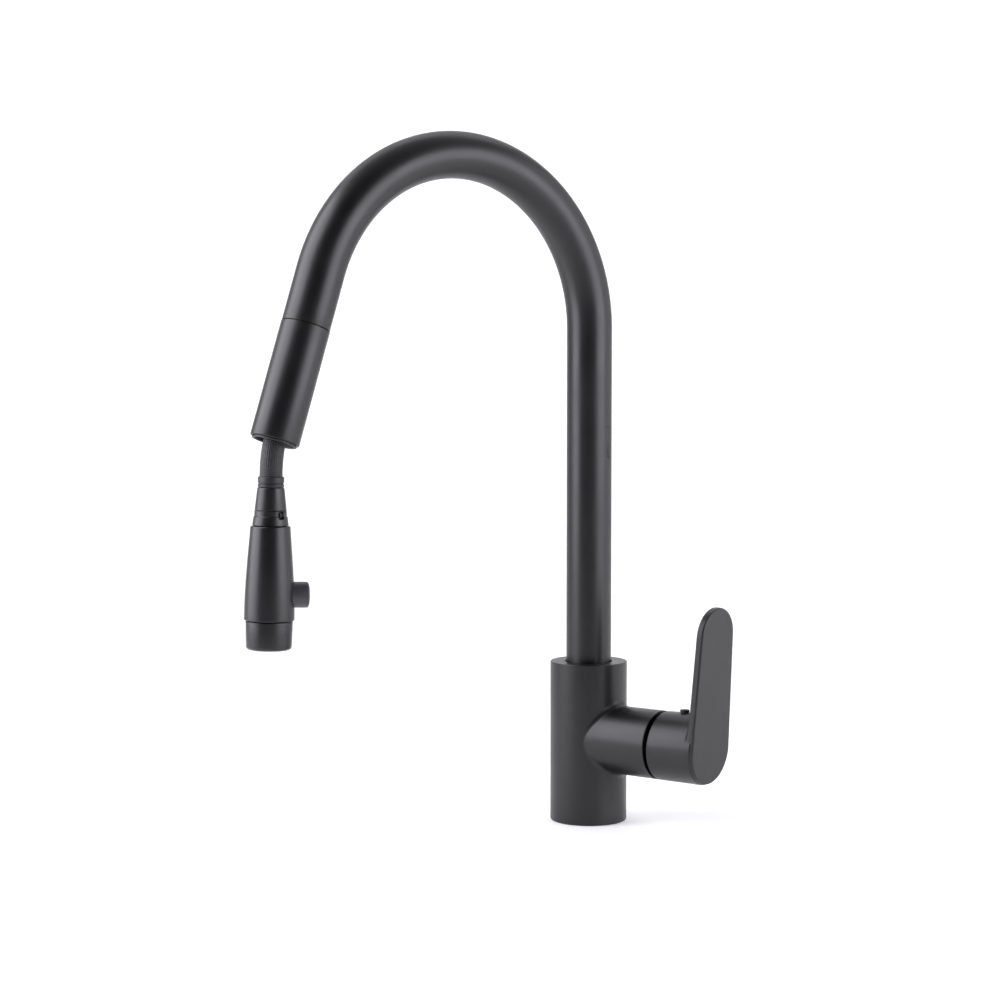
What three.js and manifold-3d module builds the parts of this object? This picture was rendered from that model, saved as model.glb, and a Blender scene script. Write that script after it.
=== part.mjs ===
// Single-lever kitchen faucet with a high swivel spout and a pull-down spray head on a hose.
//
// Frame: millimetres, +Z up. The origin is the centre of the base's underside, on the riser's
// axis, so the deck that the faucet stands on is the plane z = 0. The valve branch points along +X.
// The spout's arch lies in a vertical plane that is turned about Z by SPOUT_AZIMUTH.

import * as THREE from 'three'
import * as BufferGeometryUtils from 'three/addons/utils/BufferGeometryUtils.js'
import Module from 'manifold-3d'

const wasm = await Module()
wasm.setup()

// ---------------------------------------------------------------- driving dimensions

const RAD = Math.PI / 180
const GAP = 0.3                      // between pieces that touch on the real object
const RUN = 0.1                      // radial clearance of a running fit
const SEGMENTS = 28                  // sides of the large round pieces
const SMALL_SEGMENTS = 12            // sides of the small ones

// base casting
const BASE_DIAMETER = 48
const BASE_HEIGHT = 100.5
const BASE_EDGE = 1.2                // rounding of the base's lower edge
const TOP_CHAMFER = 0.4              // chamfer of the base's upper edge
const PORT_RADIUS = 3.6              // hot, cold and outlet waterways
const PORT_MOUTH_RADIUS = 4.6        // threaded mouth of each waterway in the underside
const PORT_MOUTH_DEPTH = 11
const GASKET_SECTION = 1.5
const STUD_HOLE_RADIUS = 3
const STUD_HOLE_DEPTH = 14
const INLET_AZIMUTH = 42 * RAD       // hot inlet, and the cold one on the other side
const PORT_TOE_IN = 0.62             // the waterways draw together towards the discs by this
const CONNECTOR_TOP = 20             // upper end of the hose's connector in the base

// valve branch
const BRANCH_DIAMETER = 42.4
const BRANCH_WALL = 3.2
const BRANCH_AXIS_Z = 52.8
const BRANCH_END_X = 55.1
const BRANCH_CHAMFER = 0.5
const CHAMBER_FLOOR_X = 22           // inner end of the cartridge chamber

// cartridge
const CARTRIDGE_WALL = 2.6
const DISC_THICKNESS = 3
const LIFT_PIVOT_X = 42              // where the lever's lift axis crosses the branch axis
const DOME_INSET = 0.2               // the ball-shaped cover is this much smaller than the branch
const STEM_WIDTH = 7
const STEM_PIN_RADIUS = 1.5
const DISC_ARM = 12.4                // from the lift pivot back to the stem's drive ball
const LIFT_RANGE = 20 * RAD          // the lever lifts this far to full flow

// lever
const HUB_RADIUS = 21.2              // at the rear
const HUB_FRONT_RADIUS = 21.7
const HUB_RISE = 1.0 * RAD           // the hub's axis rises towards the plate
const HUB_WALL = 1.9
const HUB_REAR_GAP = 2.6             // between the branch end and the hub, at the branch axis
const HUB_RELIEF = 3.0 * RAD         // the hub's rear face leans, so the gap widens downwards
const LEVER_FACE_X = 90.9            // outer face of the lever plate, at the branch axis
const LEVER_LEAN = 3.9 * RAD         // the plate leans outwards
const LEVER_THICKNESS = 4.8
const LEVER_FOOT_RADIUS = 20.8
const LEVER_TIP_RADIUS = 17.5
const LEVER_CENTRES = 70.2           // between the centres of the foot and tip rounds
const LEVER_EDGE = 0.8               // rounding of the plate's outer edge
const BOSS_RADIUS = 8
const HANDLE_SCREW_X = 72
const HANDLE_SCREW_RADIUS = 2.4

// spout
const TUBE_DIAMETER = 28
const TUBE_WALL = 1.5
const BEND_RADIUS = 102.7
const BEND_START_Z = 308
const BEND_TURN = 161.7 * RAD
const SPOUT_AZIMUTH = -104.5 * RAD
const TUBE_FOOT_Z = 68               // lower end of the riser, inside the base
const TAIL_LENGTH = 32.6             // straight tube between the bend and the seam
const SLEEVE_DIAMETER = 28.4
const SLEEVE_WALL = 1.5
const SLEEVE_LENGTH = 68
const COUPLING_DEPTH = 12.5          // into the tube and into the sleeve
const LINER_WALL = 1.2
const LINER_LENGTH = 25
const LIP_HEIGHT = 1
const LIP_INSET = 1.2                // the liner's lip is this much smaller than the sleeve

// hose
const HOSE_DIAMETER = 13
const HOSE_BORE_DIAMETER = 7
const HOSE_BEND_BELOW_SLEEVE = 7     // from the sleeve's end to the middle of the hose's bend
const HOSE_BEND_REACH = 11           // from the middle of the bend to where the hose is straight
const HEAD_TURN = -25 * RAD          // how far the head is swivelled on its joint
const HEAD_LEAN = 1.3 * RAD          // the head hangs this far off the vertical

// neck: the collar, cone and connector ring at the hose's end. Heights are measured down from
// the middle of the hose's bend, along the head's axis.
const NECK_TOP = 13.6
const COLLAR_HEIGHT = 5.8
const COLLAR_WALL = 0.9
const CONE_HEIGHT = 13
const CONE_FOOT_RADIUS = 9.05
const RING_HEIGHT = 8.5
const RING_FOOT_RADIUS = 10.3
const RING_STEP = 0.5
const WINDOW_WIDTH = 3.8
const WINDOW_HEIGHT = 4.4
const WINDOW_AZIMUTH = -7 * RAD      // in the base's frame

// head
const SHELL_HEIGHT = 53.3
const SHELL_TOP_RADIUS = 11.3
const SHELL_MAX_RADIUS = 14.25
const SHELL_WALL = 1.8
const CAP_HEIGHT = 16.2
const CAP_TOP_RADIUS = 13.35
const CAP_FOOT_RADIUS = 12.85
const CAP_ROUND = 1.9
const BUTTON_DIAMETER = 14.8
const BUTTON_REACH = 22.1            // from the head's axis to the button's outer face
const BUTTON_ROUND = 1.3
const BUTTON_TRAVEL = 3
const BUTTON_ABOVE_SEAM = 14.3       // above the seam between the shell and the nozzle cap
const CORE_RADIUS = 10.4
const SPOOL_RADIUS = 3.6
const SPRAY_HOLES = 12

// ---------------------------------------------------------------- derived dimensions

const baseRadius = BASE_DIAMETER / 2
const branchRadius = BRANCH_DIAMETER / 2
const chamberRadius = branchRadius - BRANCH_WALL
const tubeRadius = TUBE_DIAMETER / 2
const tubeBore = tubeRadius - TUBE_WALL
const sleeveRadius = SLEEVE_DIAMETER / 2
const sleeveBore = sleeveRadius - SLEEVE_WALL
const domeRadius = branchRadius - DOME_INSET
const hoseRadius = HOSE_DIAMETER / 2
const hoseBore = HOSE_BORE_DIAMETER / 2
const buttonRadius = BUTTON_DIAMETER / 2

// ---------------------------------------------------------------- geometry helpers

function solid (geometry) {
  const plain = geometry.clone()
  plain.deleteAttribute('normal')
  plain.deleteAttribute('uv')
  const merged = BufferGeometryUtils.mergeVertices(plain, 1e-4)
  const index = merged.index.array
  const triVerts = []
  for (let i = 0; i < index.length; i += 3) {
    const [a, b, c] = [index[i], index[i + 1], index[i + 2]]
    if (a !== b && b !== c && c !== a) triVerts.push(a, b, c)
  }
  const build = (triangles) => new wasm.Manifold(new wasm.Mesh({
    numProp: 3,
    vertProperties: new Float32Array(merged.attributes.position.array),
    triVerts: new Uint32Array(triangles)
  }))
  const body = build(triVerts)
  if (body.volume() > 0) return body
  const turned = []
  for (let i = 0; i < triVerts.length; i += 3) {
    turned.push(triVerts[i], triVerts[i + 2], triVerts[i + 1])
  }
  return build(turned)
}

function geometryOf (body) {
  const mesh = body.getMesh()
  const geometry = new THREE.BufferGeometry()
  geometry.setAttribute('position', new THREE.BufferAttribute(new Float32Array(mesh.vertProperties), 3))
  geometry.setIndex(new THREE.BufferAttribute(new Uint32Array(mesh.triVerts), 1))
  geometry.computeVertexNormals()
  return geometry
}

const subtractAll = (body, cutters) => cutters.reduce((rest, cutter) => rest.subtract(cutter), body)

// A body of revolution about Z. The profile is a list of [radius, z] that either starts and ends
// on the axis or is closed on itself here.
function turnedProfile (profile, segments = SEGMENTS) {
  const points = profile.map(([r, z]) => new THREE.Vector2(r, z))
  const onAxis = profile[0][0] === 0 && profile[profile.length - 1][0] === 0
  if (!onAxis) points.push(points[0].clone())
  return solid(new THREE.LatheGeometry(points, segments).rotateX(Math.PI / 2))
}

const ring = (inner, outer, low, high, segments = SEGMENTS) =>
  turnedProfile([[inner, low], [outer, low], [outer, high], [inner, high]], segments)

const disc = (radius, low, high, segments = SEGMENTS) =>
  turnedProfile([[0, low], [radius, low], [radius, high], [0, high]], segments)

// The same bodies, laid along +X at the height of the branch axis.
const alongX = (body) => body.rotate([0, 90, 0]).translate([0, 0, BRANCH_AXIS_Z])

function box (sizeX, sizeY, sizeZ, x, y, z) {
  return solid(new THREE.BoxGeometry(sizeX, sizeY, sizeZ).translate(x, y, z))
}

function rod (from, to, radius, segments = SMALL_SEGMENTS) {
  const start = new THREE.Vector3(...from)
  const end = new THREE.Vector3(...to)
  const length = start.distanceTo(end)
  const geometry = new THREE.CylinderGeometry(radius, radius, length, segments)
  const turn = new THREE.Quaternion().setFromUnitVectors(
    new THREE.Vector3(0, 1, 0), end.clone().sub(start).normalize())
  geometry.applyQuaternion(turn)
  geometry.translate(...start.add(end).multiplyScalar(0.5).toArray())
  return solid(geometry)
}

// Points on a quarter round of a profile, from angle a to angle b about [r, z].
function roundCorner (r, z, radius, a, b, steps = 3) {
  const points = []
  for (let i = 0; i <= steps; i++) {
    const angle = (a + (b - a) * i / steps) * RAD
    points.push([r + radius * Math.cos(angle), z + radius * Math.sin(angle)])
  }
  return points
}

function circlePath (radius, segments, Kind = THREE.Shape) {
  const points = []
  for (let i = 0; i < segments; i++) {
    const angle = 2 * Math.PI * i / segments
    points.push(new THREE.Vector2(radius * Math.cos(angle), radius * Math.sin(angle)))
  }
  return new Kind(points)
}

// A flat curve in the XZ plane, given by a list of stretches. A stretch is a straight line or an
// arc, and takes the number of steps that it needs.
class FlatPath extends THREE.Curve {
  constructor (start, heading, stretches) {
    super()
    this.places = [{ x: start[0], z: start[1], heading }]
    for (const { length, turn = 0, steps = 1 } of stretches) {
      for (let i = 0; i < steps; i++) {
        const last = this.places[this.places.length - 1]
        const half = turn / steps / 2
        const chord = half === 0 ? length / steps : length / steps * Math.sin(half) / half
        const direction = last.heading + half
        this.places.push({
          x: last.x + chord * Math.sin(direction),
          z: last.z + chord * Math.cos(direction),
          heading: last.heading + 2 * half
        })
      }
    }
    this.steps = this.places.length - 1
  }

  place (u) {
    const scaled = Math.min(Math.max(u, 0), 1) * this.steps
    return this.places[Math.round(scaled)]
  }

  getPoint (u, target = new THREE.Vector3()) {
    const { x, z } = this.place(u)
    return target.set(x, 0, z)
  }

  getPointAt (u, target) {
    return this.getPoint(u, target)
  }

  getTangentAt (u, target = new THREE.Vector3()) {
    const { heading } = this.place(u)
    return target.set(Math.sin(heading), 0, Math.cos(heading))
  }
}

function pipe (path, outer, inner, sides, innerSides = sides) {
  const section = circlePath(outer, sides)
  section.holes.push(circlePath(inner, innerSides, THREE.Path))
  return solid(new THREE.ExtrudeGeometry(section, {
    steps: path.steps, bevelEnabled: false, extrudePath: path
  }))
}

// ---------------------------------------------------------------- scene graph helpers

const finishes = {
  coating: { color: 0x2a2b2e, roughness: 0.5, metalness: 0.35 },
  brass: { color: 0xb08d4c, roughness: 0.35, metalness: 0.9 },
  steel: { color: 0x9a9ca0, roughness: 0.35, metalness: 0.9 },
  ceramic: { color: 0xe6e2da, roughness: 0.3, metalness: 0 },
  nylon: { color: 0x1b1b1d, roughness: 0.55, metalness: 0 },
  acetal: { color: 0xd8d6cf, roughness: 0.5, metalness: 0 },
  rubber: { color: 0x111112, roughness: 0.8, metalness: 0 },
  hose: { color: 0x17181a, roughness: 0.7, metalness: 0 }
}

function addPiece (parent, name, body, finish) {
  const mesh = new THREE.Mesh(geometryOf(body), new THREE.MeshStandardMaterial(finishes[finish]))
  mesh.name = name
  parent.add(mesh)
  return mesh
}

const faucet = new THREE.Group()
faucet.name = 'pull_down_faucet'

// ---------------------------------------------------------------- base and its swivel joint

const swivelBore = tubeRadius + 0.8          // hole that the riser enters
const swivelPocket = swivelBore + 2.2        // pocket that holds the retaining ring
const pocketTop = TUBE_FOOT_Z - 2
const pocketFloor = pocketTop - 10
const hoseBoreRadius = hoseRadius + 2
const portCircle = (hoseBoreRadius + baseRadius) / 2 - 0.6
const hotPort = [portCircle * Math.cos(INLET_AZIMUTH), portCircle * Math.sin(INLET_AZIMUTH)]
const coldPort = [hotPort[0], -hotPort[1]]
const outletPort = [hoseBoreRadius + PORT_RADIUS + 1.6, 0]
const inletZ = BRANCH_AXIS_Z + 2
const outletZ = BRANCH_AXIS_Z - 10
const studPlace = [-(hoseBoreRadius + baseRadius) / 2, 0]
const gasketRadius = baseRadius - 2.2
const bushHeight = 7
const bushWall = 1.9
const upperBushZ = BASE_HEIGHT - 14
const lowerBushZ = pocketTop + 3
const sealZ = BASE_HEIGHT - 3.4
const sealHeight = 1.8
const sealWall = 1.2

function bodyCasting () {
  const barrel = turnedProfile([
    [0, 0],
    ...roundCorner(baseRadius - BASE_EDGE, BASE_EDGE, BASE_EDGE, -90, 0),
    [baseRadius, BASE_HEIGHT - TOP_CHAMFER],
    [baseRadius - TOP_CHAMFER, BASE_HEIGHT],
    [0, BASE_HEIGHT]
  ])
  const branch = alongX(turnedProfile([
    [0, 0],
    [branchRadius, 0],
    [branchRadius, BRANCH_END_X - BRANCH_CHAMFER],
    [branchRadius - BRANCH_CHAMFER, BRANCH_END_X],
    [0, BRANCH_END_X]
  ]))
  const cutters = [
    disc(hoseBoreRadius, -1, pocketFloor + 1),
    disc(swivelPocket, pocketFloor, pocketTop),
    disc(swivelBore, pocketTop - 1, BASE_HEIGHT + 1),
    ring(tubeRadius - 1, tubeRadius + bushWall + GAP, upperBushZ - GAP, upperBushZ + bushHeight + GAP),
    ring(tubeRadius - 1, tubeRadius + bushWall + GAP, lowerBushZ - GAP, lowerBushZ + bushHeight + GAP),
    ring(tubeRadius - 1, tubeRadius + sealWall + GAP, sealZ - GAP, sealZ + sealHeight + GAP),
    alongX(disc(chamberRadius, CHAMBER_FLOOR_X, BRANCH_END_X + 1)),
    ring(gasketRadius - GASKET_SECTION / 2 - GAP / 2, gasketRadius + GASKET_SECTION / 2 + GAP / 2,
      -1, GASKET_SECTION + GAP),
    rod([...studPlace, -1], [...studPlace, STUD_HOLE_DEPTH], STUD_HOLE_RADIUS)
  ]
  for (const [port, z] of [[hotPort, inletZ], [coldPort, inletZ], [outletPort, outletZ]]) {
    cutters.push(
      rod([...port, -1], [...port, PORT_MOUTH_DEPTH], PORT_MOUTH_RADIUS),
      rod([...port, 1], [...port, z + PORT_RADIUS * 0.6], PORT_RADIUS),
      rod([...port, z], [CHAMBER_FLOOR_X + 1, port[1] * PORT_TOE_IN, z], PORT_RADIUS * 0.8))
  }
  return subtractAll(barrel.add(branch), cutters)
}

addPiece(faucet, 'body_casting', bodyCasting(), 'coating')
addPiece(faucet, 'base_gasket', ring(gasketRadius - GASKET_SECTION / 2 + GAP / 2,
  gasketRadius + GASKET_SECTION / 2 - GAP / 2, 0, GASKET_SECTION), 'rubber')

for (const [name, z] of [['upper_bush', upperBushZ], ['lower_bush', lowerBushZ]]) {
  addPiece(faucet, name, ring(tubeRadius + RUN, tubeRadius + bushWall, z, z + bushHeight), 'acetal')
}
addPiece(faucet, 'dust_seal',
  ring(tubeRadius + RUN, tubeRadius + sealWall, sealZ, sealZ + sealHeight), 'rubber')

function hoseConnector () {
  const outer = hoseBoreRadius - GAP
  const groove = outer - 1.4
  return turnedProfile([
    [hoseBore, 0.5], [outer - 1, 0.5], [outer, 1.5], [outer, 9],
    [groove, 9.6], [groove, 13], [outer, 13.6], [outer, CONNECTOR_TOP], [hoseBore, CONNECTOR_TOP]
  ], SMALL_SEGMENTS)
}
addPiece(faucet, 'hose_connector', hoseConnector(), 'brass')

// ---------------------------------------------------------------- cartridge

const cartridgeRadius = chamberRadius - GAP
const cartridgeBore = cartridgeRadius - CARTRIDGE_WALL
const sealThickness = 1.2
const cartridgeRearX = CHAMBER_FLOOR_X + sealThickness + 2 * GAP
const fixedDiscX = cartridgeRearX + GAP
const movingDiscX = fixedDiscX + DISC_THICKNESS + RUN
const carrierX = movingDiscX + DISC_THICKNESS + GAP
const cartridgeFrontX = LIFT_PIVOT_X + 6
const nutFrontX = BRANCH_END_X - 1.4
const fixedDiscRadius = cartridgeBore - GAP
const discTravel = DISC_ARM * Math.sin(LIFT_RANGE)
const movingDiscRadius = fixedDiscRadius - discTravel - 0.6
const discPorts = [
  { y: hotPort[1] * PORT_TOE_IN, z: inletZ - BRANCH_AXIS_Z },
  { y: coldPort[1] * PORT_TOE_IN, z: inletZ - BRANCH_AXIS_Z },
  { y: 0, z: outletZ - BRANCH_AXIS_Z }
]
const portCutters = (from, to, radius) => discPorts.map(({ y, z }) =>
  rod([from, y, BRANCH_AXIS_Z + z], [to, y, BRANCH_AXIS_Z + z], radius, 12))

addPiece(faucet, 'cartridge_seal', subtractAll(
  alongX(disc(cartridgeRadius - 1, CHAMBER_FLOOR_X + GAP, CHAMBER_FLOOR_X + GAP + sealThickness)),
  portCutters(CHAMBER_FLOOR_X - 1, cartridgeRearX + 1, PORT_RADIUS * 0.8)), 'rubber')

addPiece(faucet, 'cartridge_body', alongX(turnedProfile([
  [cartridgeBore, cartridgeRearX], [cartridgeRadius, cartridgeRearX],
  [cartridgeRadius, cartridgeFrontX], [cartridgeBore - 1.4, cartridgeFrontX],
  [cartridgeBore - 1.4, cartridgeFrontX - 2], [cartridgeBore, cartridgeFrontX - 3]
])), 'nylon')

addPiece(faucet, 'fixed_disc', subtractAll(
  alongX(disc(fixedDiscRadius, fixedDiscX, fixedDiscX + DISC_THICKNESS)),
  portCutters(fixedDiscX - 1, fixedDiscX + DISC_THICKNESS + 1, PORT_RADIUS * 0.75)), 'ceramic')

const nutRadius = chamberRadius - GAP
addPiece(faucet, 'cartridge_nut', alongX(turnedProfile([
  [cartridgeBore - 1.4, cartridgeFrontX + GAP], [nutRadius, cartridgeFrontX + GAP],
  [nutRadius, nutFrontX], [nutRadius - 1, nutFrontX + 0.6],
  [cartridgeBore - 1.4, nutFrontX + 0.6]
])), 'brass')

// Ball-shaped cover over the cartridge: a zone of a hollow ball, open for the stem.
function domeCap () {
  const inner = domeRadius - 1.4
  const mouth = Math.asin(12.6 / domeRadius) / RAD
  const foot = Math.acos((nutFrontX + 0.6 + GAP - LIFT_PIVOT_X) / domeRadius) / RAD
  const arc = (radius, from, to) => roundCorner(0, LIFT_PIVOT_X, radius, 90 - from, 90 - to, 5)
  const innerFoot = Math.acos((nutFrontX + 0.6 + GAP - LIFT_PIVOT_X) / inner) / RAD
  return alongX(turnedProfile([...arc(domeRadius, foot, mouth), ...arc(inner, mouth, innerFoot)]))
}
addPiece(faucet, 'dome_cap', domeCap(), 'nylon')

// turns with the lever about the branch axis
const carrierRadius = cartridgeBore - 1.4 - 2 * RUN - GAP
const carrierFrontX = LIFT_PIVOT_X + 4.4
const stemPocket = STEM_WIDTH / 2 + 0.6
const carrierSlotHalf = STEM_WIDTH / 2 + (LIFT_PIVOT_X - carrierX) * Math.tan(LIFT_RANGE) + 1.2
addPiece(faucet, 'stem_carrier', subtractAll(alongX(disc(carrierRadius, carrierX, carrierFrontX)), [
  box(carrierFrontX - carrierX + 2, 2 * stemPocket, 2 * carrierSlotHalf,
    (carrierX + carrierFrontX) / 2, 0, BRANCH_AXIS_Z),
  rod([LIFT_PIVOT_X, -carrierRadius - 1, BRANCH_AXIS_Z], [LIFT_PIVOT_X, carrierRadius + 1, BRANCH_AXIS_Z],
    STEM_PIN_RADIUS + 0.05, 16)
]), 'nylon')
addPiece(faucet, 'stem_pin', rod([LIFT_PIVOT_X, -carrierRadius + 0.6, BRANCH_AXIS_Z],
  [LIFT_PIVOT_X, carrierRadius - 0.6, BRANCH_AXIS_Z], STEM_PIN_RADIUS - 0.05, 16), 'steel')

// slides in the carrier, driven by the stem's ball end
const driveBallRadius = 2.1
function movingDisc () {
  const plate = alongX(disc(movingDiscRadius, movingDiscX, movingDiscX + DISC_THICKNESS))
  const socket = rod([movingDiscX + 1.2, 0, BRANCH_AXIS_Z],
    [movingDiscX + DISC_THICKNESS + 1, 0, BRANCH_AXIS_Z], driveBallRadius + 0.5, 16)
  return plate.subtract(socket)
}
addPiece(faucet, 'moving_disc', movingDisc(), 'ceramic')

// ---------------------------------------------------------------- lever

const stemFrontX = HANDLE_SCREW_X + 6
function cartridgeStem () {
  const rearX = movingDiscX + DISC_THICKNESS
  const bar = box(stemFrontX - LIFT_PIVOT_X + 5, STEM_WIDTH, STEM_WIDTH,
    (stemFrontX + LIFT_PIVOT_X - 5) / 2, 0, BRANCH_AXIS_Z)
  const finger = rod([rearX - 1.2, 0, BRANCH_AXIS_Z], [LIFT_PIVOT_X - 3, 0, BRANCH_AXIS_Z],
    driveBallRadius, 16)
  const pinHole = rod([LIFT_PIVOT_X, -STEM_WIDTH, BRANCH_AXIS_Z], [LIFT_PIVOT_X, STEM_WIDTH, BRANCH_AXIS_Z],
    STEM_PIN_RADIUS + 0.05, 16)
  return bar.add(finger).subtract(pinHole)
}
addPiece(faucet, 'cartridge_stem', cartridgeStem(), 'brass')

// The plate's outline, as seen along the branch: a large round at the foot, a small round at the
// tip, and straight sides that touch both.
function plateOutline (footRadius, tipRadius, centres, steps = 14) {
  const lean = Math.asin((footRadius - tipRadius) / centres)
  const shape = new THREE.Shape()
  const points = []
  for (let i = 0; i <= steps; i++) {
    const angle = lean + (Math.PI - 2 * lean) * i / steps
    points.push(new THREE.Vector2(tipRadius * Math.cos(angle), centres + tipRadius * Math.sin(angle)))
  }
  for (let i = 0; i <= steps; i++) {
    const angle = Math.PI - lean + (Math.PI + 2 * lean) * i / steps
    points.push(new THREE.Vector2(footRadius * Math.cos(angle), footRadius * Math.sin(angle)))
  }
  shape.setFromPoints(points)
  return shape
}

const plateRearX = LEVER_FACE_X - LEVER_THICKNESS
const hubCavityX = plateRearX - 8

function leverHandle () {
  const outline = plateOutline(LEVER_FOOT_RADIUS - LEVER_EDGE, LEVER_TIP_RADIUS - LEVER_EDGE, LEVER_CENTRES)
  const plateGeometry = new THREE.ExtrudeGeometry(outline, {
    depth: LEVER_THICKNESS - 2 * LEVER_EDGE, bevelEnabled: true, bevelThickness: LEVER_EDGE,
    bevelSize: LEVER_EDGE, bevelSegments: 2
  })
  // the outline's x runs along +Y, its y along +Z, and its depth along +X
  const turn = new THREE.Matrix4().makeBasis(
    new THREE.Vector3(0, 1, 0), new THREE.Vector3(0, 0, 1), new THREE.Vector3(1, 0, 0))
  plateGeometry.translate(0, 0, LEVER_EDGE - LEVER_THICKNESS).applyMatrix4(turn)
  const plate = solid(plateGeometry).rotate([0, LEVER_LEAN / RAD, 0])
    .translate([LEVER_FACE_X, 0, BRANCH_AXIS_Z])
  const rearX = BRANCH_END_X + HUB_REAR_GAP
  const hub = turnedProfile([
    [0, -4], [HUB_RADIUS, -4], [HUB_FRONT_RADIUS, LEVER_FACE_X - LEVER_EDGE - rearX],
    [0, LEVER_FACE_X - LEVER_EDGE - rearX]
  ]).rotate([0, 90 - HUB_RISE / RAD, 0]).translate([rearX, 0, BRANCH_AXIS_Z])
  const reliefHalf = HUB_RADIUS * 2
  const relief = solid(new THREE.BoxGeometry(20, 2 * reliefHalf, 2 * reliefHalf).translate(-10, 0, 0))
    .rotate([0, -HUB_RELIEF / RAD, 0]).translate([rearX, 0, BRANCH_AXIS_Z])
  // in front of the plate's leaning face nothing of the hub stands proud
  const front = solid(new THREE.BoxGeometry(20, 2 * reliefHalf, 4 * reliefHalf).translate(10, 0, 0))
    .rotate([0, LEVER_LEAN / RAD, 0]).translate([LEVER_FACE_X - LEVER_EDGE, 0, BRANCH_AXIS_Z])
  const cavity = alongX(disc(HUB_RADIUS - HUB_WALL, rearX - 6, hubCavityX))
  const boss = alongX(disc(BOSS_RADIUS, HANDLE_SCREW_X - 5, hubCavityX + 1))
  const socket = box(stemFrontX - HANDLE_SCREW_X + 8, STEM_WIDTH + 2 * GAP, STEM_WIDTH + 2 * GAP,
    (stemFrontX + HANDLE_SCREW_X + 2 * GAP - 7.4) / 2, 0, BRANCH_AXIS_Z)
  const screwHole = rod([HANDLE_SCREW_X, 0, BRANCH_AXIS_Z],
    [HANDLE_SCREW_X, 0, BRANCH_AXIS_Z + HUB_RADIUS + 4],
    HANDLE_SCREW_RADIUS + GAP)
  return subtractAll(hub.subtract(cavity).add(boss).subtract(relief).subtract(front).add(plate),
    [socket, screwHole])
}
addPiece(faucet, 'lever_handle', leverHandle(), 'coating')

const hubTop = HUB_RADIUS + 0.7       // height of the hub above the branch axis, at the screw
const screwTop = BRANCH_AXIS_Z + hubTop - 3.2
addPiece(faucet, 'handle_screw', (() => {
  const low = BRANCH_AXIS_Z + STEM_WIDTH / 2 + GAP
  const screw = rod([HANDLE_SCREW_X, 0, low], [HANDLE_SCREW_X, 0, low + 8], HANDLE_SCREW_RADIUS, 16)
  const key = rod([HANDLE_SCREW_X, 0, low + 5.5], [HANDLE_SCREW_X, 0, low + 9], 1.2, 6)
  return screw.subtract(key)
})(), 'steel')
addPiece(faucet, 'screw_plug', (() => {
  const plug = rod([HANDLE_SCREW_X, 0, screwTop], [HANDLE_SCREW_X, 0, screwTop + 4], HANDLE_SCREW_RADIUS, 16)
  const capLow = BRANCH_AXIS_Z + hubTop + GAP
  const cap = rod([HANDLE_SCREW_X, 0, capLow - 0.2], [HANDLE_SCREW_X, 0, capLow + 1.3],
    HANDLE_SCREW_RADIUS + 0.5, 16)
  return plug.add(cap)
})(), 'rubber')

// ---------------------------------------------------------------- spout

const spout = new THREE.Group()
spout.rotation.z = SPOUT_AZIMUTH
faucet.add(spout)

const BEND_STEPS = 24
const bendLength = BEND_RADIUS * BEND_TURN
const spoutPath = new FlatPath([0, TUBE_FOOT_Z], 0, [
  { length: BEND_START_Z - TUBE_FOOT_Z },
  { length: bendLength, turn: BEND_TURN, steps: BEND_STEPS },
  { length: TAIL_LENGTH }
])
addPiece(spout, 'spout_tube', pipe(spoutPath, tubeRadius, tubeBore, 24, 16), 'coating')

const footBore = hoseRadius + 1.6
const ringGrooveRadius = tubeBore
addPiece(spout, 'spout_foot', turnedProfile([
  [footBore, pocketFloor + 1], [tubeRadius, pocketFloor + 1], [tubeRadius, pocketTop - 2.4],
  [ringGrooveRadius, pocketTop - 2.4], [ringGrooveRadius, pocketTop],
  [tubeRadius, pocketTop], [tubeRadius, TUBE_FOOT_Z - GAP], [tubeBore - GAP, TUBE_FOOT_Z - GAP],
  [tubeBore - GAP, TUBE_FOOT_Z + 18], [footBore, TUBE_FOOT_Z + 18]
], SMALL_SEGMENTS), 'brass')
addPiece(spout, 'retaining_ring', (() => {
  const outer = swivelPocket - 0.5
  const whole = ring(ringGrooveRadius + 0.2, outer, pocketTop - 1.9, pocketTop - 0.5)
  return whole.subtract(box(outer, 5, 6, -outer / 2 - ringGrooveRadius / 2, 0, pocketTop - 1))
})(), 'steel')

// Sleeve frame: origin where the bend ends, local +Z up along the sleeve's axis.
const bendEnd = spoutPath.places[1 + BEND_STEPS]
const sleeveFrame = new THREE.Group()
sleeveFrame.position.set(bendEnd.x, 0, bendEnd.z)
sleeveFrame.rotation.y = BEND_TURN - Math.PI
spout.add(sleeveFrame)

const seamZ = -TAIL_LENGTH
const sleeveTop = seamZ - GAP / 2
const mouthZ = seamZ - SLEEVE_LENGTH
addPiece(sleeveFrame, 'end_sleeve', ring(sleeveBore, sleeveRadius, mouthZ, sleeveTop - GAP), 'coating')
addPiece(sleeveFrame, 'sleeve_coupling', turnedProfile([
  [hoseRadius + 1.6, seamZ - COUPLING_DEPTH], [sleeveBore - GAP, seamZ - COUPLING_DEPTH],
  [sleeveBore - GAP, seamZ], [tubeBore - GAP, seamZ],
  [tubeBore - GAP, seamZ + COUPLING_DEPTH], [hoseRadius + 1.6, seamZ + COUPLING_DEPTH]
]), 'brass')

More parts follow.
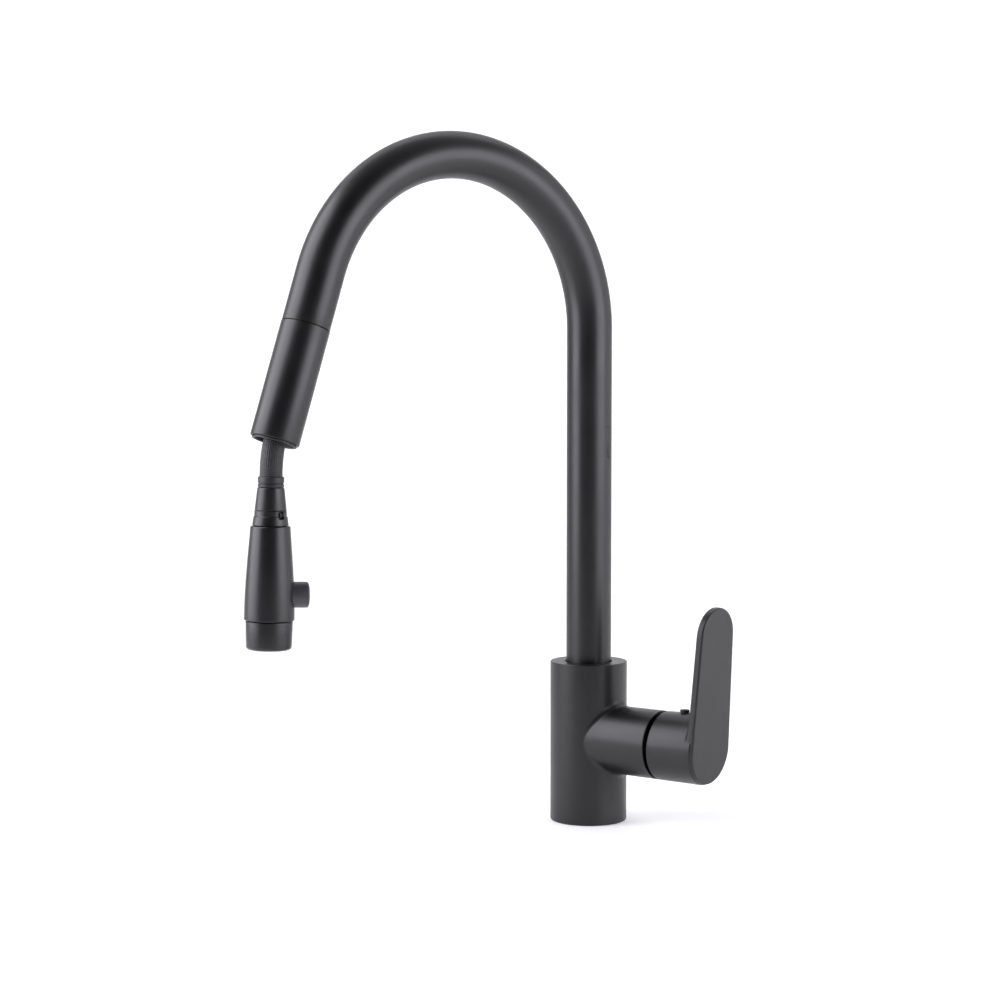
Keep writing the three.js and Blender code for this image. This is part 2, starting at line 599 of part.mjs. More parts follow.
const linerRadius = sleeveBore - GAP
const linerBore = linerRadius - LINER_WALL
const lipRadius = sleeveRadius - LIP_INSET
const lipFoot = mouthZ - GAP - LIP_HEIGHT
addPiece(sleeveFrame, 'docking_liner', turnedProfile([
  [linerBore, mouthZ + LINER_LENGTH], [linerBore, lipFoot + 0.6], [linerBore + 0.5, lipFoot],
  [lipRadius - 0.4, lipFoot], [lipRadius, lipFoot + 0.4], [lipRadius, mouthZ - GAP],
  [linerRadius, mouthZ - GAP], [linerRadius, mouthZ + LINER_LENGTH]
]), 'nylon')

// ---------------------------------------------------------------- hose

const HOSE_SIDES = 10
const HOSE_BORE_SIDES = 6
const hoseFootZ = CONNECTOR_TOP + GAP
const bendMiddleZ = mouthZ - HOSE_BEND_BELOW_SLEEVE
addPiece(spout, 'hose_in_spout', pipe(new FlatPath([0, hoseFootZ], 0, [
  { length: BEND_START_Z - hoseFootZ },
  { length: bendLength, turn: BEND_TURN, steps: 18 },
  { length: TAIL_LENGTH - GAP }
]), hoseRadius, hoseBore, HOSE_SIDES, HOSE_BORE_SIDES), 'hose')

const hoseBendTop = bendMiddleZ + HOSE_BEND_REACH
addPiece(sleeveFrame, 'hose_in_sleeve', ring(hoseBore, hoseRadius, hoseBendTop + GAP, seamZ - GAP,
  HOSE_SIDES), 'hose')

const sleeveLean = Math.PI - BEND_TURN
const hoseTurn = sleeveLean - HEAD_LEAN
const hoseEndBelow = NECK_TOP + COLLAR_HEIGHT - GAP
const bendArc = HOSE_BEND_REACH * hoseTurn / Math.tan(hoseTurn / 2)
// in the sleeve's frame the hose starts straight down and turns back towards the vertical
addPiece(sleeveFrame, 'hose_bend', pipe(new FlatPath([0, hoseBendTop], Math.PI, [
  { length: bendArc, turn: hoseTurn, steps: 6 },
  { length: hoseEndBelow - HOSE_BEND_REACH }
]), hoseRadius, hoseBore, HOSE_SIDES, HOSE_BORE_SIDES), 'hose')

// ---------------------------------------------------------------- neck

// Head frame: origin at the middle of the hose's bend, local +Z up along the head's axis.
const headFrame = new THREE.Group()
headFrame.position.set(0, 0, bendMiddleZ)
headFrame.rotation.y = hoseTurn
sleeveFrame.add(headFrame)

const collarRadius = hoseRadius + COLLAR_WALL
const collarFoot = -(NECK_TOP + COLLAR_HEIGHT)
const coneTop = collarFoot - GAP
const coneFoot = coneTop - CONE_HEIGHT + GAP
const ringTop = coneFoot - GAP
const ringFoot = ringTop - RING_HEIGHT + GAP
const ferruleRadius = hoseRadius - 1.8
const spigotRadius = ferruleRadius + 0.9

addPiece(headFrame, 'hose_collar', turnedProfile([
  [hoseRadius + GAP, collarFoot], [collarRadius, collarFoot], [collarRadius, collarFoot + 1.5],
  [collarRadius - 0.35, collarFoot + 1.7], [collarRadius - 0.35, collarFoot + 2.2],
  [collarRadius, collarFoot + 2.4], [collarRadius, -NECK_TOP - 0.5],
  [collarRadius - 0.4, -NECK_TOP], [hoseRadius + GAP, -NECK_TOP]
], SMALL_SEGMENTS), 'nylon')
addPiece(headFrame, 'hose_ferrule',
  ring(hoseBore - 0.4, ferruleRadius, coneFoot + 2, coneTop - 0.2, SMALL_SEGMENTS), 'steel')
addPiece(headFrame, 'neck_cone', turnedProfile([
  [ferruleRadius + GAP, coneFoot], [CONE_FOOT_RADIUS, coneFoot],
  [collarRadius + 0.3, coneTop - 0.8], [collarRadius + 0.1, coneTop], [ferruleRadius + GAP, coneTop]
], SEGMENTS), 'coating')

const windowMiddle = ringTop - 0.3 - WINDOW_HEIGHT / 2
const windowAngle = WINDOW_AZIMUTH - SPOUT_AZIMUTH
const windowFloor = CONE_FOOT_RADIUS - 2
const ringBore = spigotRadius + GAP
addPiece(headFrame, 'connector_ring', turnedProfile([
  [ringBore, ringFoot], [RING_FOOT_RADIUS, ringFoot], [CONE_FOOT_RADIUS + RING_STEP, ringTop - 3.3],
  [CONE_FOOT_RADIUS + 0.1, ringTop - 3.1], [CONE_FOOT_RADIUS + 0.1, ringTop], [ringBore, ringTop]
], SEGMENTS).subtract(box(6, WINDOW_WIDTH, WINDOW_HEIGHT, windowFloor + 3, 0, windowMiddle)
  .rotate([0, 0, windowAngle / RAD])), 'coating')
addPiece(headFrame, 'connector_latch', box(1.3, WINDOW_WIDTH - 1.6, WINDOW_HEIGHT - 1.6,
  windowFloor + GAP + 0.65, 0.5, windowMiddle).rotate([0, 0, windowAngle / RAD]), 'steel')

// ---------------------------------------------------------------- head

const shellTop = ringFoot - 0.5
const shellFoot = shellTop - SHELL_HEIGHT
const capTop = shellFoot - 0.5
const capFoot = capTop - CAP_HEIGHT
const spigotFoot = shellTop - 11
addPiece(headFrame, 'swivel_spigot', turnedProfile([
  [hoseBore - 0.4, spigotFoot], [spigotRadius, spigotFoot], [spigotRadius, ringTop - GAP],
  [hoseBore - 0.4, ringTop - GAP]
], SMALL_SEGMENTS), 'brass')

const sealSection = 1.2
const coreBore = spigotRadius + sealSection + GAP
const oringPlaces = [shellTop - 4.5, shellTop - 8]
oringPlaces.forEach((z, i) => {
  addPiece(headFrame, `spigot_oring_${i + 1}`, ring(spigotRadius + 0.05, spigotRadius + sealSection,
    z - sealSection / 2, z + sealSection / 2, SMALL_SEGMENTS), 'rubber')
})

// the shell's outer radius, at a distance down from its top: slim at the top, full lower down
const shellRadius = (down) => SHELL_TOP_RADIUS +
  (SHELL_MAX_RADIUS - SHELL_TOP_RADIUS) * Math.sin(Math.min(down / SHELL_HEIGHT, 1) * Math.PI / 2) ** 1.12
const buttonZ = shellFoot + BUTTON_ABOVE_SEAM
const coreNeck = coreBore + 1.5

function headShell () {
  const outside = [0.8, 6, 12, 19, 26, 33, 41, SHELL_HEIGHT - 1.2]
    .map((down) => [shellRadius(down), shellTop - down])
  const inside = [SHELL_HEIGHT, 41, 33, 26, 19, 12, 6, 3.2]
    .map((down) => [Math.max(shellRadius(down) - SHELL_WALL, coreNeck + GAP + 0.2), shellTop - down])
  const body = turnedProfile([
    [coreNeck + GAP, shellTop], [shellRadius(0) - 0.8, shellTop], ...outside,
    [SHELL_MAX_RADIUS - 0.5, shellFoot], ...inside, [coreNeck + GAP, shellTop - 2.6]
  ])
  return body.subtract(rod([0, 0, buttonZ], [-BUTTON_REACH, 0, buttonZ], buttonRadius + GAP))
}

const coreShoulder = shellTop - 24
const coreFoot = shellFoot + 1.5
function headCore () {
  const body = turnedProfile([
    [coreBore, shellTop - 0.4], [coreNeck, shellTop - 0.4], [coreNeck, coreShoulder],
    [CORE_RADIUS, coreShoulder - 2], [CORE_RADIUS, coreFoot], [CORE_RADIUS - 3, coreFoot],
    [CORE_RADIUS - 3, buttonZ - SPOOL_RADIUS - 3], [2.6, buttonZ - SPOOL_RADIUS - 3],
    [2.6, coreShoulder - 2.5], [hoseBore + 1.2, coreShoulder - 2.5], [hoseBore + 1.2, spigotFoot - 2.2],
    [coreBore, spigotFoot - 2.2]
  ], SMALL_SEGMENTS)
  return subtractAll(body, [
    rod([CORE_RADIUS - 3, 0, buttonZ], [-CORE_RADIUS - 1, 0, buttonZ], SPOOL_RADIUS + 0.1, 16),
    rod([-CORE_RADIUS + 2.4, 0, buttonZ], [-CORE_RADIUS - 2, 0, buttonZ], buttonRadius + GAP)
  ])
}

const swivelled = new THREE.Group()          // all that turns about the head's axis
swivelled.rotation.z = HEAD_TURN
headFrame.add(swivelled)
addPiece(swivelled, 'head_shell', headShell(), 'coating')
addPiece(swivelled, 'head_core', headCore(), 'acetal')
addPiece(swivelled, 'filter_screen',
  disc(coreBore - GAP, spigotFoot - 1.6, spigotFoot - 0.7, SMALL_SEGMENTS), 'steel')
addPiece(swivelled, 'check_valve', turnedProfile([
  [1.6, coreShoulder - 2.1], [hoseBore + 0.9, coreShoulder - 2.1], [hoseBore + 0.9, spigotFoot - 2.5],
  [1.6, spigotFoot - 2.5]
], SMALL_SEGMENTS), 'acetal')

// the button, its spool and the spring that returns it, along the head's own -X
const buttonRear = -(shellRadius(SHELL_HEIGHT - BUTTON_ABOVE_SEAM) - SHELL_WALL - 0.4)
const pressFrame = new THREE.Group()          // local +Z is the button's outward direction
pressFrame.position.set(0, 0, buttonZ)
pressFrame.rotation.y = -Math.PI / 2
swivelled.add(pressFrame)
addPiece(pressFrame, 'spray_button', (() => {
  const face = BUTTON_REACH
  const rear = -buttonRear
  const outside = turnedProfile([
    [0, rear], [buttonRadius, rear],
    ...roundCorner(buttonRadius - BUTTON_ROUND, face - BUTTON_ROUND, BUTTON_ROUND, 0, 90),
    [0, face]
  ], 32)
  return outside.subtract(disc(buttonRadius - 2, rear - 1, face - 6, SMALL_SEGMENTS))
})(), 'nylon')
const spoolFront = BUTTON_REACH - 6 - GAP
addPiece(pressFrame, 'diverter_spool', turnedProfile([
  [0, -CORE_RADIUS + 6.6], [SPOOL_RADIUS - 0.2, -CORE_RADIUS + 6.6], [SPOOL_RADIUS - 0.2, -1.6],
  [SPOOL_RADIUS - 1.2, -1.2], [SPOOL_RADIUS - 1.2, 1.2], [SPOOL_RADIUS - 0.2, 1.6],
  [SPOOL_RADIUS - 0.2, 5], [2.2, 5.4], [2.2, spoolFront], [0, spoolFront]
], 16), 'brass')

function buttonSpring () {
  const wire = 0.45
  const turns = 4
  const low = CORE_RADIUS - 2.6 + wire + 0.2
  const high = BUTTON_REACH - 6 - wire - 0.2
  const coil = 3.6
  class Helix extends THREE.Curve {
    getPoint (t, target = new THREE.Vector3()) {
      const angle = 2 * Math.PI * turns * t
      return target.set(coil * Math.cos(angle), coil * Math.sin(angle), low + (high - low) * t)
    }
  }
  return solid(new THREE.ExtrudeGeometry(circlePath(wire, 6), {
    steps: turns * 10, bevelEnabled: false, extrudePath: new Helix()
  }))
}
addPiece(pressFrame, 'button_spring', buttonSpring(), 'steel')

// nozzle end
const plateThickness = 2.4
const capBore = CAP_FOOT_RADIUS - 2.2
addPiece(swivelled, 'nozzle_cap', turnedProfile([
  [capBore, capTop], [CAP_TOP_RADIUS - 0.3, capTop], [CAP_TOP_RADIUS, capTop - 0.5],
  ...roundCorner(CAP_FOOT_RADIUS - CAP_ROUND, capFoot + CAP_ROUND, CAP_ROUND, 0, -75, 4),
  [capBore + 0.4, capFoot + 0.05], [capBore, capFoot + 0.6]
]), 'coating')
addPiece(swivelled, 'cap_oring', ring(coreNeck, SHELL_MAX_RADIUS - SHELL_WALL - GAP,
  shellFoot + 0.1, shellFoot + 1.1, SMALL_SEGMENTS), 'rubber')
const aeratorRadius = capBore * 0.52
const sprayRadius = capBore - GAP
function sprayPlate () {
  const low = capFoot + 0.9
  const plate = ring(aeratorRadius + GAP, sprayRadius, low, low + plateThickness)
  const holes = []
  for (let i = 0; i < SPRAY_HOLES; i++) {
    const angle = 2 * Math.PI * i / SPRAY_HOLES
    const place = (aeratorRadius + sprayRadius + GAP) / 2
    const [x, y] = [place * Math.cos(angle), place * Math.sin(angle)]
    holes.push(rod([x, y, low - 1], [x, y, low + plateThickness + 1], 0.7, 6))
  }
  return subtractAll(plate, holes)
}
addPiece(swivelled, 'spray_plate', sprayPlate(), 'rubber')
function aerator () {
  const low = capFoot + 1.2
  const body = disc(aeratorRadius, low, low + 8, SMALL_SEGMENTS)
  const pitch = aeratorRadius * 0.34
  const holes = []
  for (const [x, y] of [[0, 0], [1, 0], [-1, 0], [0.5, 0.87], [-0.5, 0.87], [0.5, -0.87], [-0.5, -0.87],
    [2, 0], [-2, 0], [0, 1.74], [0, -1.74]]) {
    holes.push(rod([x * pitch, y * pitch, low - 1], [x * pitch, y * pitch, low + 9], pitch * 0.36, 6))
  }
  return subtractAll(body, holes)
}
addPiece(swivelled, 'aerator', aerator(), 'acetal')
addPiece(swivelled, 'flow_divider', subtractAll(disc(sprayRadius, capTop - 3.5, capTop - 1.5, SMALL_SEGMENTS), [
  disc(2.2, capTop - 5, capTop, 12), rod([7, 0, capTop - 5], [7, 0, capTop], 1.4, 8),
  rod([-7, 0, capTop - 5], [-7, 0, capTop], 1.4, 8)
]), 'acetal')

faucet.updateMatrixWorld(true)
export default faucet
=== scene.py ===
import math

import bmesh
import bpy
from mathutils import Matrix, Vector


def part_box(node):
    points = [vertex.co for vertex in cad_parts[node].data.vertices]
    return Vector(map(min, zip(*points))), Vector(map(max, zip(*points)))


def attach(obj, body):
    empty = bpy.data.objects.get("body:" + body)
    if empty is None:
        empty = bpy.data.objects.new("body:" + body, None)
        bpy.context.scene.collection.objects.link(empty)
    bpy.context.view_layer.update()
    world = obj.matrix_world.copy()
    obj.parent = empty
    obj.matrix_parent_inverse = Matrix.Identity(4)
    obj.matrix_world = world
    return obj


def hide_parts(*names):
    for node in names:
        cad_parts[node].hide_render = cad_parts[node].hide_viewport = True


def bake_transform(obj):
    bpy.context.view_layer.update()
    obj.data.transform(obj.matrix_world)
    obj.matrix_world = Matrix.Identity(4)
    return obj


bl_info = {
    "name": "Pull-down Kitchen Faucet",
    "version": (1, 0, 0),
    "blender": (4, 5, 0),
    "location": "3D View > Sidebar > Faucet",
    "description": "Builds a satin black pull-down kitchen faucet, piece by piece",
    "category": "Object",
}

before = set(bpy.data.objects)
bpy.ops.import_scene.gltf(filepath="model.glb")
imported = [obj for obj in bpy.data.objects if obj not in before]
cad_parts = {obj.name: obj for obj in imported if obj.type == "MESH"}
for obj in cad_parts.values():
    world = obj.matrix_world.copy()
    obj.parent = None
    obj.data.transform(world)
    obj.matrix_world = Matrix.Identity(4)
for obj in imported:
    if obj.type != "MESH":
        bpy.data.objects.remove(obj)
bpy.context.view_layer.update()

MM = 0.001
HEADING = (-0.60876, 0.79335, 0)    # from the camera to the faucet, over the floor
FULL_TURN = 2 * math.pi

# ---------------------------------------------------------------- places of the assembly

BASE_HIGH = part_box("body_casting")[1]
BASE_RADIUS = BASE_HIGH[1]
BASE_HEIGHT = BASE_HIGH[2]
BRANCH_AXIS_Z = 52.8 * MM
BRANCH_END_X = BASE_HIGH[0]
SPOUT_AZIMUTH = math.radians(-104.5)
BEND_TURN = math.radians(161.7)
BEND_RADIUS = 102.7 * MM
BEND_START_Z = 308 * MM
TUBE_FOOT_Z = 68 * MM
TAIL_LENGTH = 32.6 * MM
SLEEVE_LENGTH = 68 * MM
HOSE_BEND_BELOW_SLEEVE = 7 * MM
HOSE_BEND_REACH = 11 * MM
HEAD_LEAN = math.radians(1.3)
HEAD_TURN = math.radians(-25)
HOSE_TURN = math.pi - BEND_TURN - HEAD_LEAN

GAP = 0.3 * MM
HOSE_WALL = 1.2 * MM
FACE_DEPTH = 2.4 * MM               # of the rubber spray face
MOUTH_Z = -TAIL_LENGTH - SLEEVE_LENGTH
HOSE_MIDDLE_Z = MOUTH_Z - HOSE_BEND_BELOW_SLEEVE

SPOUT_PLACE = Matrix.Rotation(SPOUT_AZIMUTH, 4, "Z")
BEND_END = Vector((BEND_RADIUS * (1 - math.cos(BEND_TURN)), 0,
                   BEND_START_Z + BEND_RADIUS * math.sin(BEND_TURN)))
SLEEVE_PLACE = (SPOUT_PLACE @ Matrix.Translation(BEND_END)
                @ Matrix.Rotation(BEND_TURN - math.pi, 4, "Y"))
HEAD_PLACE = (SLEEVE_PLACE @ Matrix.Translation((0, 0, HOSE_MIDDLE_Z))
              @ Matrix.Rotation(HOSE_TURN, 4, "Y"))
SWIVEL_PLACE = HEAD_PLACE @ Matrix.Rotation(HEAD_TURN, 4, "Z")

# heights along the head's axis, down from the middle of the hose's bend
COLLAR_TOP = -13.6 * MM
COLLAR_FOOT = -19.4 * MM
CONE_TOP = COLLAR_FOOT - GAP
CONE_FOOT = CONE_TOP - 12.7 * MM
RING_TOP = CONE_FOOT - GAP
RING_FOOT = RING_TOP - 8.2 * MM
SHELL_TOP = RING_FOOT - 0.5 * MM
SHELL_HEIGHT = 53.3 * MM
SHELL_FOOT = SHELL_TOP - SHELL_HEIGHT
CAP_TOP = SHELL_FOOT - 0.5 * MM
CAP_FOOT = CAP_TOP - 16.2 * MM
BUTTON_Z = SHELL_FOOT + 14.3 * MM


def length(name, default, text):
    return bpy.props.FloatProperty(name=name, description=text, default=default * MM,
                                   min=0, unit="LENGTH", subtype="DISTANCE", precision=4)


def colour(name, text, default):
    return bpy.props.StringProperty(name=name, description=text, default=default)


class FaucetSizes(bpy.types.PropertyGroup):
    branch_radius: length("Branch radius", 21.2, "Outer radius of the valve branch")
    branch_fillet: length("Branch fillet", 4.2, "Cast fillet where the branch leaves the base")
    tube_radius: length("Tube radius", 14, "Outer radius of the riser and the arch")
    tube_wall: length("Tube wall", 1.5, "Wall of the bent tube")
    sleeve_radius: length("Sleeve radius", 14.2, "Outer radius of the spout's end sleeve")
    hose_radius: length("Hose radius", 6.5, "Outer radius of the braided hose")
    strand: length("Braid strand", 1.25, "Width of one carrier of the hose's braid")
    braid_relief: length("Braid relief", 0.13, "How far a strand stands out of the braid")
    hub_radius: length("Hub radius", 21.2, "Rear radius of the lever's hub")
    hub_front_radius: length("Hub front radius", 21.7, "Radius of the hub at the plate")
    plate_foot_radius: length("Plate foot radius", 20.8, "Large round of the lever plate")
    plate_tip_radius: length("Plate tip radius", 17.5, "Small round of the lever plate")
    plate_centres: length("Plate centres", 70.2, "Distance between the plate's two rounds")
    plate_thickness: length("Plate thickness", 4.8, "Thickness of the lever plate")
    plate_edge: length("Plate edge", 1.15, "Rounding of the lever plate's edges")
    hub_fillet: length("Hub fillet", 2.4, "Fillet between the hub and the lever plate")
    shell_top_radius: length("Head top radius", 11.3, "Radius of the spray head at its top")
    shell_radius: length("Head radius", 14.25, "Largest radius of the spray head")
    button_radius: length("Button radius", 7.4, "Radius of the spray button")


class FaucetColours(bpy.types.PropertyGroup):
    coating: colour("Coating", "Satin black coating on metal", "#0C0C0E")
    moulded: colour("Moulded black", "Black plastic of the spray head", "#0D0D10")
    nylon: colour("Nylon", "Black nylon of the inner and trim pieces", "#151516")
    braid: colour("Braid", "Black yarn of the hose's braid", "#161618")
    rubber: colour("Rubber", "Black seals and spray nozzles", "#121213")
    brass: colour("Brass", "Machined brass", "#B5935A")
    steel: colour("Steel", "Bright stainless steel", "#A9ABAE")
    # also painted shade: the cartridge nut uses this dark metal so the gap it shows through stays
    # black
    blackened: colour("Blackened metal", "Black oxide on seen inner metal pieces", "#2A2A2C")
    button: colour("Button", "Softer black plastic of the spray button", "#343437")
    ceramic: colour("Ceramic", "Lapped valve discs", "#EAE4DA")
    acetal: colour("Acetal", "Natural white bushes and water ways", "#D9D6CC")
    floor: colour("Floor", "Pale studio floor", "#F4F4F4")


# ---------------------------------------------------------------- materials

def linear(hex_colour):
    """Linear red, green, blue and alpha of an sRGB hex colour."""
    channels = [int(hex_colour[i:i + 2], 16) / 255 for i in (1, 3, 5)]
    return tuple(c / 12.92 if c <= 0.04045 else ((c + 0.055) / 1.055) ** 2.4
                 for c in channels) + (1.0,)


def add_node(tree, kind, values=None, links=None, **settings):
    """Adds a node, sets its properties, its sockets' values and the links into it."""
    node = tree.nodes.new(kind)
    for key, value in settings.items():
        setattr(node, key, value)
    for key, value in (values or {}).items():
        node.inputs[key].default_value = value
    for key, output in (links or {}).items():
        tree.links.new(output, node.inputs[key])
    return node


def new_material(name, base, metallic, roughness, **uniform):
    """A material with its node tree, its principled shader and its Object coordinates."""
    material = bpy.data.materials.new(name)
    material.use_nodes = True
    tree = material.node_tree
    shader = tree.nodes["Principled BSDF"]
    shader.inputs["Base Color"].default_value = base
    shader.inputs["Metallic"].default_value = metallic
    shader.inputs["Roughness"].default_value = roughness
    for key, value in uniform.items():
        socket = "IOR" if key == "ior" else key.replace("_", " ").title()
        shader.inputs[socket].default_value = value
    coordinates = add_node(tree, "ShaderNodeTexCoord").outputs["Object"]
    return material, tree, shader, coordinates


def grain(tree, coordinates, size, detail=3.0):
    """Noise whose grains are about the given size, in metres."""
    return add_node(tree, "ShaderNodeTexNoise", {"Scale": 1 / size, "Detail": detail},
                    {"Vector": coordinates}).outputs["Fac"]


def spread(tree, factor, low, high, start=0.35, stop=0.65):
    """Maps a factor's middle band to a range of values."""
    return add_node(tree, "ShaderNodeMapRange",
                    {"From Min": start, "From Max": stop, "To Min": low, "To Max": high},
                    {"Value": factor}).outputs["Result"]


def tinted(tree, factor, first, second):
    """A colour between two, by a factor."""
    return add_node(tree, "ShaderNodeMix", {6: first, 7: second}, {0: factor},
                    data_type="RGBA").outputs[2]


def raise_surface(tree, shader, height, depth, strength=1.0):
    """Bump of a real depth, in metres."""
    bump = add_node(tree, "ShaderNodeBump", {"Strength": strength, "Distance": depth},
                    {"Height": height})
    tree.links.new(bump.outputs["Normal"], shader.inputs["Normal"])


def shade(base, factor):
    return tuple(min(c * factor, 1) for c in base[:3]) + (1.0,)


def dress(tree, shader, base, tone, tones, gloss, roughness):
    """Varies a material's colour by one pattern and its roughness by another."""
    tree.links.new(tinted(tree, tone, shade(base, tones[0]), shade(base, tones[1])),
                   shader.inputs["Base Color"])
    tree.links.new(spread(tree, gloss, *roughness), shader.inputs["Roughness"])


def satin_coating(name, hex_colour, roughness, grit):
    """Sprayed or plated satin black: an even, slightly grained film that softens each
    highlight, with a cloudiness too faint to see except in the gloss."""
    base = linear(hex_colour)
    material, tree, shader, place = new_material(name, base, 0.0, roughness)
    cloud = grain(tree, place, 22 * MM, 2.0)
    fine = grain(tree, place, grit, 2.0)
    mixed = add_node(tree, "ShaderNodeMath", {1: 0.6}, {0: fine, 2: cloud},
                     operation="MULTIPLY_ADD").outputs[0]
    dress(tree, shader, base, spread(tree, mixed, 0, 1, 0.5, 1.1), (0.75, 1.35),
          mixed, (roughness - 0.05, roughness + 0.05, 0.5, 1.1))
    raise_surface(tree, shader, fine, 0.03 * MM)
    return material


def moulded_nylon(name, hex_colour, roughness=0.5):
    """Glass-filled nylon from a spark-eroded mould: dark, with a fine even texture."""
    base = linear(hex_colour)
    material, tree, shader, place = new_material(name, base, 0.0, roughness)
    texture = grain(tree, place, 0.35 * MM, 4.0)
    dress(tree, shader, base, texture, (0.8, 1.25),
          texture, (roughness - 0.06, roughness + 0.08))
    raise_surface(tree, shader, texture, 0.02 * MM)
    return material


def moulded_rubber(name, hex_colour):
    """Silicone or nitrile rubber: nearly black, soft bloom on the surface."""
    base = linear(hex_colour)
    material, tree, shader, place = new_material(name, base, 0.0, 0.62)
    bloom = grain(tree, place, 1.4 * MM, 5.0)
    dress(tree, shader, base, bloom, (0.8, 1.7), bloom, (0.5, 0.72))
    raise_surface(tree, shader, bloom, 0.015 * MM)
    return material


def machined_metal(name, hex_colour, roughness, pitch=0.12 * MM):
    """Turned metal: fine feed lines around the piece give the gloss a silky streak."""
    base = linear(hex_colour)
    material, tree, shader, place = new_material(name, base, 1.0, roughness)
    stretched = add_node(tree, "ShaderNodeMapping", {"Scale": (0.04, 0.04, 1)},
                         {"Vector": place}).outputs["Vector"]
    lines = grain(tree, stretched, pitch, 3.0)
    tarnish = grain(tree, place, 6 * MM, 4.0)
    dress(tree, shader, base, tarnish, (0.82, 1.08), lines, (roughness - 0.08, roughness + 0.1))
    raise_surface(tree, shader, lines, 0.008 * MM)
    return material


def lapped_ceramic(name, hex_colour):
    """Alumina, lapped flat: pale, almost mirror-smooth, with a trace of speckle."""
    base = linear(hex_colour)
    material, tree, shader, place = new_material(name, base, 0.0, 0.16, ior=1.76)
    speckle = grain(tree, place, 0.5 * MM, 3.0)
    dress(tree, shader, base, speckle, (0.9, 1), speckle, (0.1, 0.22))
    raise_surface(tree, shader, speckle, 0.003 * MM)
    return material


def braided_yarn(name, hex_colour, carriers, pitch, place_of_head=None):
    """Tight braid of black nylon yarn: two families of strands wind round the hose and pass
    over and under each other, and each strand has a soft sheen along its threads."""
    base = linear(hex_colour)
    material, tree, shader, place = new_material(
        name, base, 0.0, 0.55, sheen_weight=0.25, sheen_roughness=0.4)
    if place_of_head is None:
        place = add_node(tree, "ShaderNodeAttribute", attribute_name="hose_place").outputs["Vector"]
    else:
        back = place_of_head.inverted()
        place = add_node(tree, "ShaderNodeMapping",
                         {"Location": back.to_translation(), "Rotation": back.to_euler()},
                         {"Vector": place}).outputs["Vector"]
    axes = add_node(tree, "ShaderNodeSeparateXYZ", links={"Vector": place}).outputs
    angle = add_node(tree, "ShaderNodeMath", links={0: axes["Y"], 1: axes["X"]},
                     operation="ARCTAN2").outputs[0]
    waves = []
    for hand in (1, -1):
        along = add_node(tree, "ShaderNodeMath", {1: hand * FULL_TURN / 2 / pitch}, {0: axes["Z"]},
                         operation="MULTIPLY").outputs[0]
        both = add_node(tree, "ShaderNodeMath", {1: carriers / 2}, {0: angle, 2: along},
                        operation="MULTIPLY_ADD").outputs[0]
        waves.append(add_node(tree, "ShaderNodeMath", links={0: both}, operation="SINE").outputs[0])
    woven = add_node(tree, "ShaderNodeMath", links={0: waves[0], 1: waves[1]},
                     operation="MULTIPLY").outputs[0]
    height = spread(tree, woven, 0, 1, -1, 1)
    threads = grain(tree, place, 0.18 * MM, 2.0)
    # painted shade and light: the yarn is darker where the strands dip and lighter on their raised
    # crowns
    dress(tree, shader, base, height, (0.45, 1.5), threads, (0.45, 0.7))
    relief = add_node(tree, "ShaderNodeMath", {1: 0.25}, {0: threads, 2: height},
                      operation="MULTIPLY_ADD").outputs[0]
    raise_surface(tree, shader, relief, 0.12 * MM)
    return material


def floor_with_painted_glow(name, hex_colour):
    """White sweep that glows by its own emission, faintly near the camera and more beyond it:
    painted light, matted with a faint stipple.
    """
    base = linear(hex_colour)
    material, tree, shader, place = new_material(name, base, 0.0, 0.85, emission_color=base)
    away = add_node(tree, "ShaderNodeVectorMath", {1: HEADING}, {0: place},
                    operation="DOT_PRODUCT").outputs["Value"]
    # painted light: the floor's own glow, weak towards the camera and stronger beyond the faucet
    tree.links.new(spread(tree, away, 0.04, 0.28, -1.3, -0.45), shader.inputs["Emission Strength"])
    stipple = grain(tree, place, 2.5 * MM, 2.0)
    dress(tree, shader, base, stipple, (0.985, 1), stipple, (0.8, 0.9))
    return material


def hose_carriers(sizes):
    """How many strands the braid has round the hose, an even number."""
    return 2 * round(FULL_TURN * sizes.hose_radius / sizes.strand / 2)


FINISHES = {}


def finish(name):
    """The faucet's finishes, each made when it is first asked for."""
    if name in FINISHES:
        return FINISHES[name]
    colours = bpy.context.scene.faucet_colours
    sizes = bpy.context.scene.faucet_sizes
    carriers = hose_carriers(sizes)
    makers = {
        "coating": lambda: satin_coating("satin_black_coating", colours.coating, 0.38, 0.6 * MM),
        "moulded": lambda: satin_coating("satin_black_abs", colours.moulded, 0.36, 0.5 * MM),
        "nylon": lambda: moulded_nylon("black_nylon", colours.nylon),
        "button": lambda: moulded_nylon("soft_black_button_plastic", colours.button, 0.42),
        "rubber": lambda: moulded_rubber("black_rubber", colours.rubber),
        "brass": lambda: machined_metal("machined_brass", colours.brass, 0.3),
        "steel": lambda: machined_metal("stainless_steel", colours.steel, 0.26),
        "blackened": lambda: machined_metal("black_oxide_and_painted_gap_shade", colours.blackened, 0.38),
        "ceramic": lambda: lapped_ceramic("alumina_ceramic", colours.ceramic),
        "acetal": lambda: moulded_nylon("natural_acetal", colours.acetal, 0.42),
        "braid": lambda: braided_yarn("braided_nylon_yarn", colours.braid, carriers, sizes.strand),
        "straight_braid": lambda: braided_yarn("braided_nylon_yarn_drawn_out", colours.braid,
                                               carriers, sizes.strand, HEAD_PLACE),
        "floor": lambda: floor_with_painted_glow("white_floor_with_painted_glow", colours.floor),
    }
    FINISHES[name] = makers[name]()
    return FINISHES[name]


# ---------------------------------------------------------------- shapes

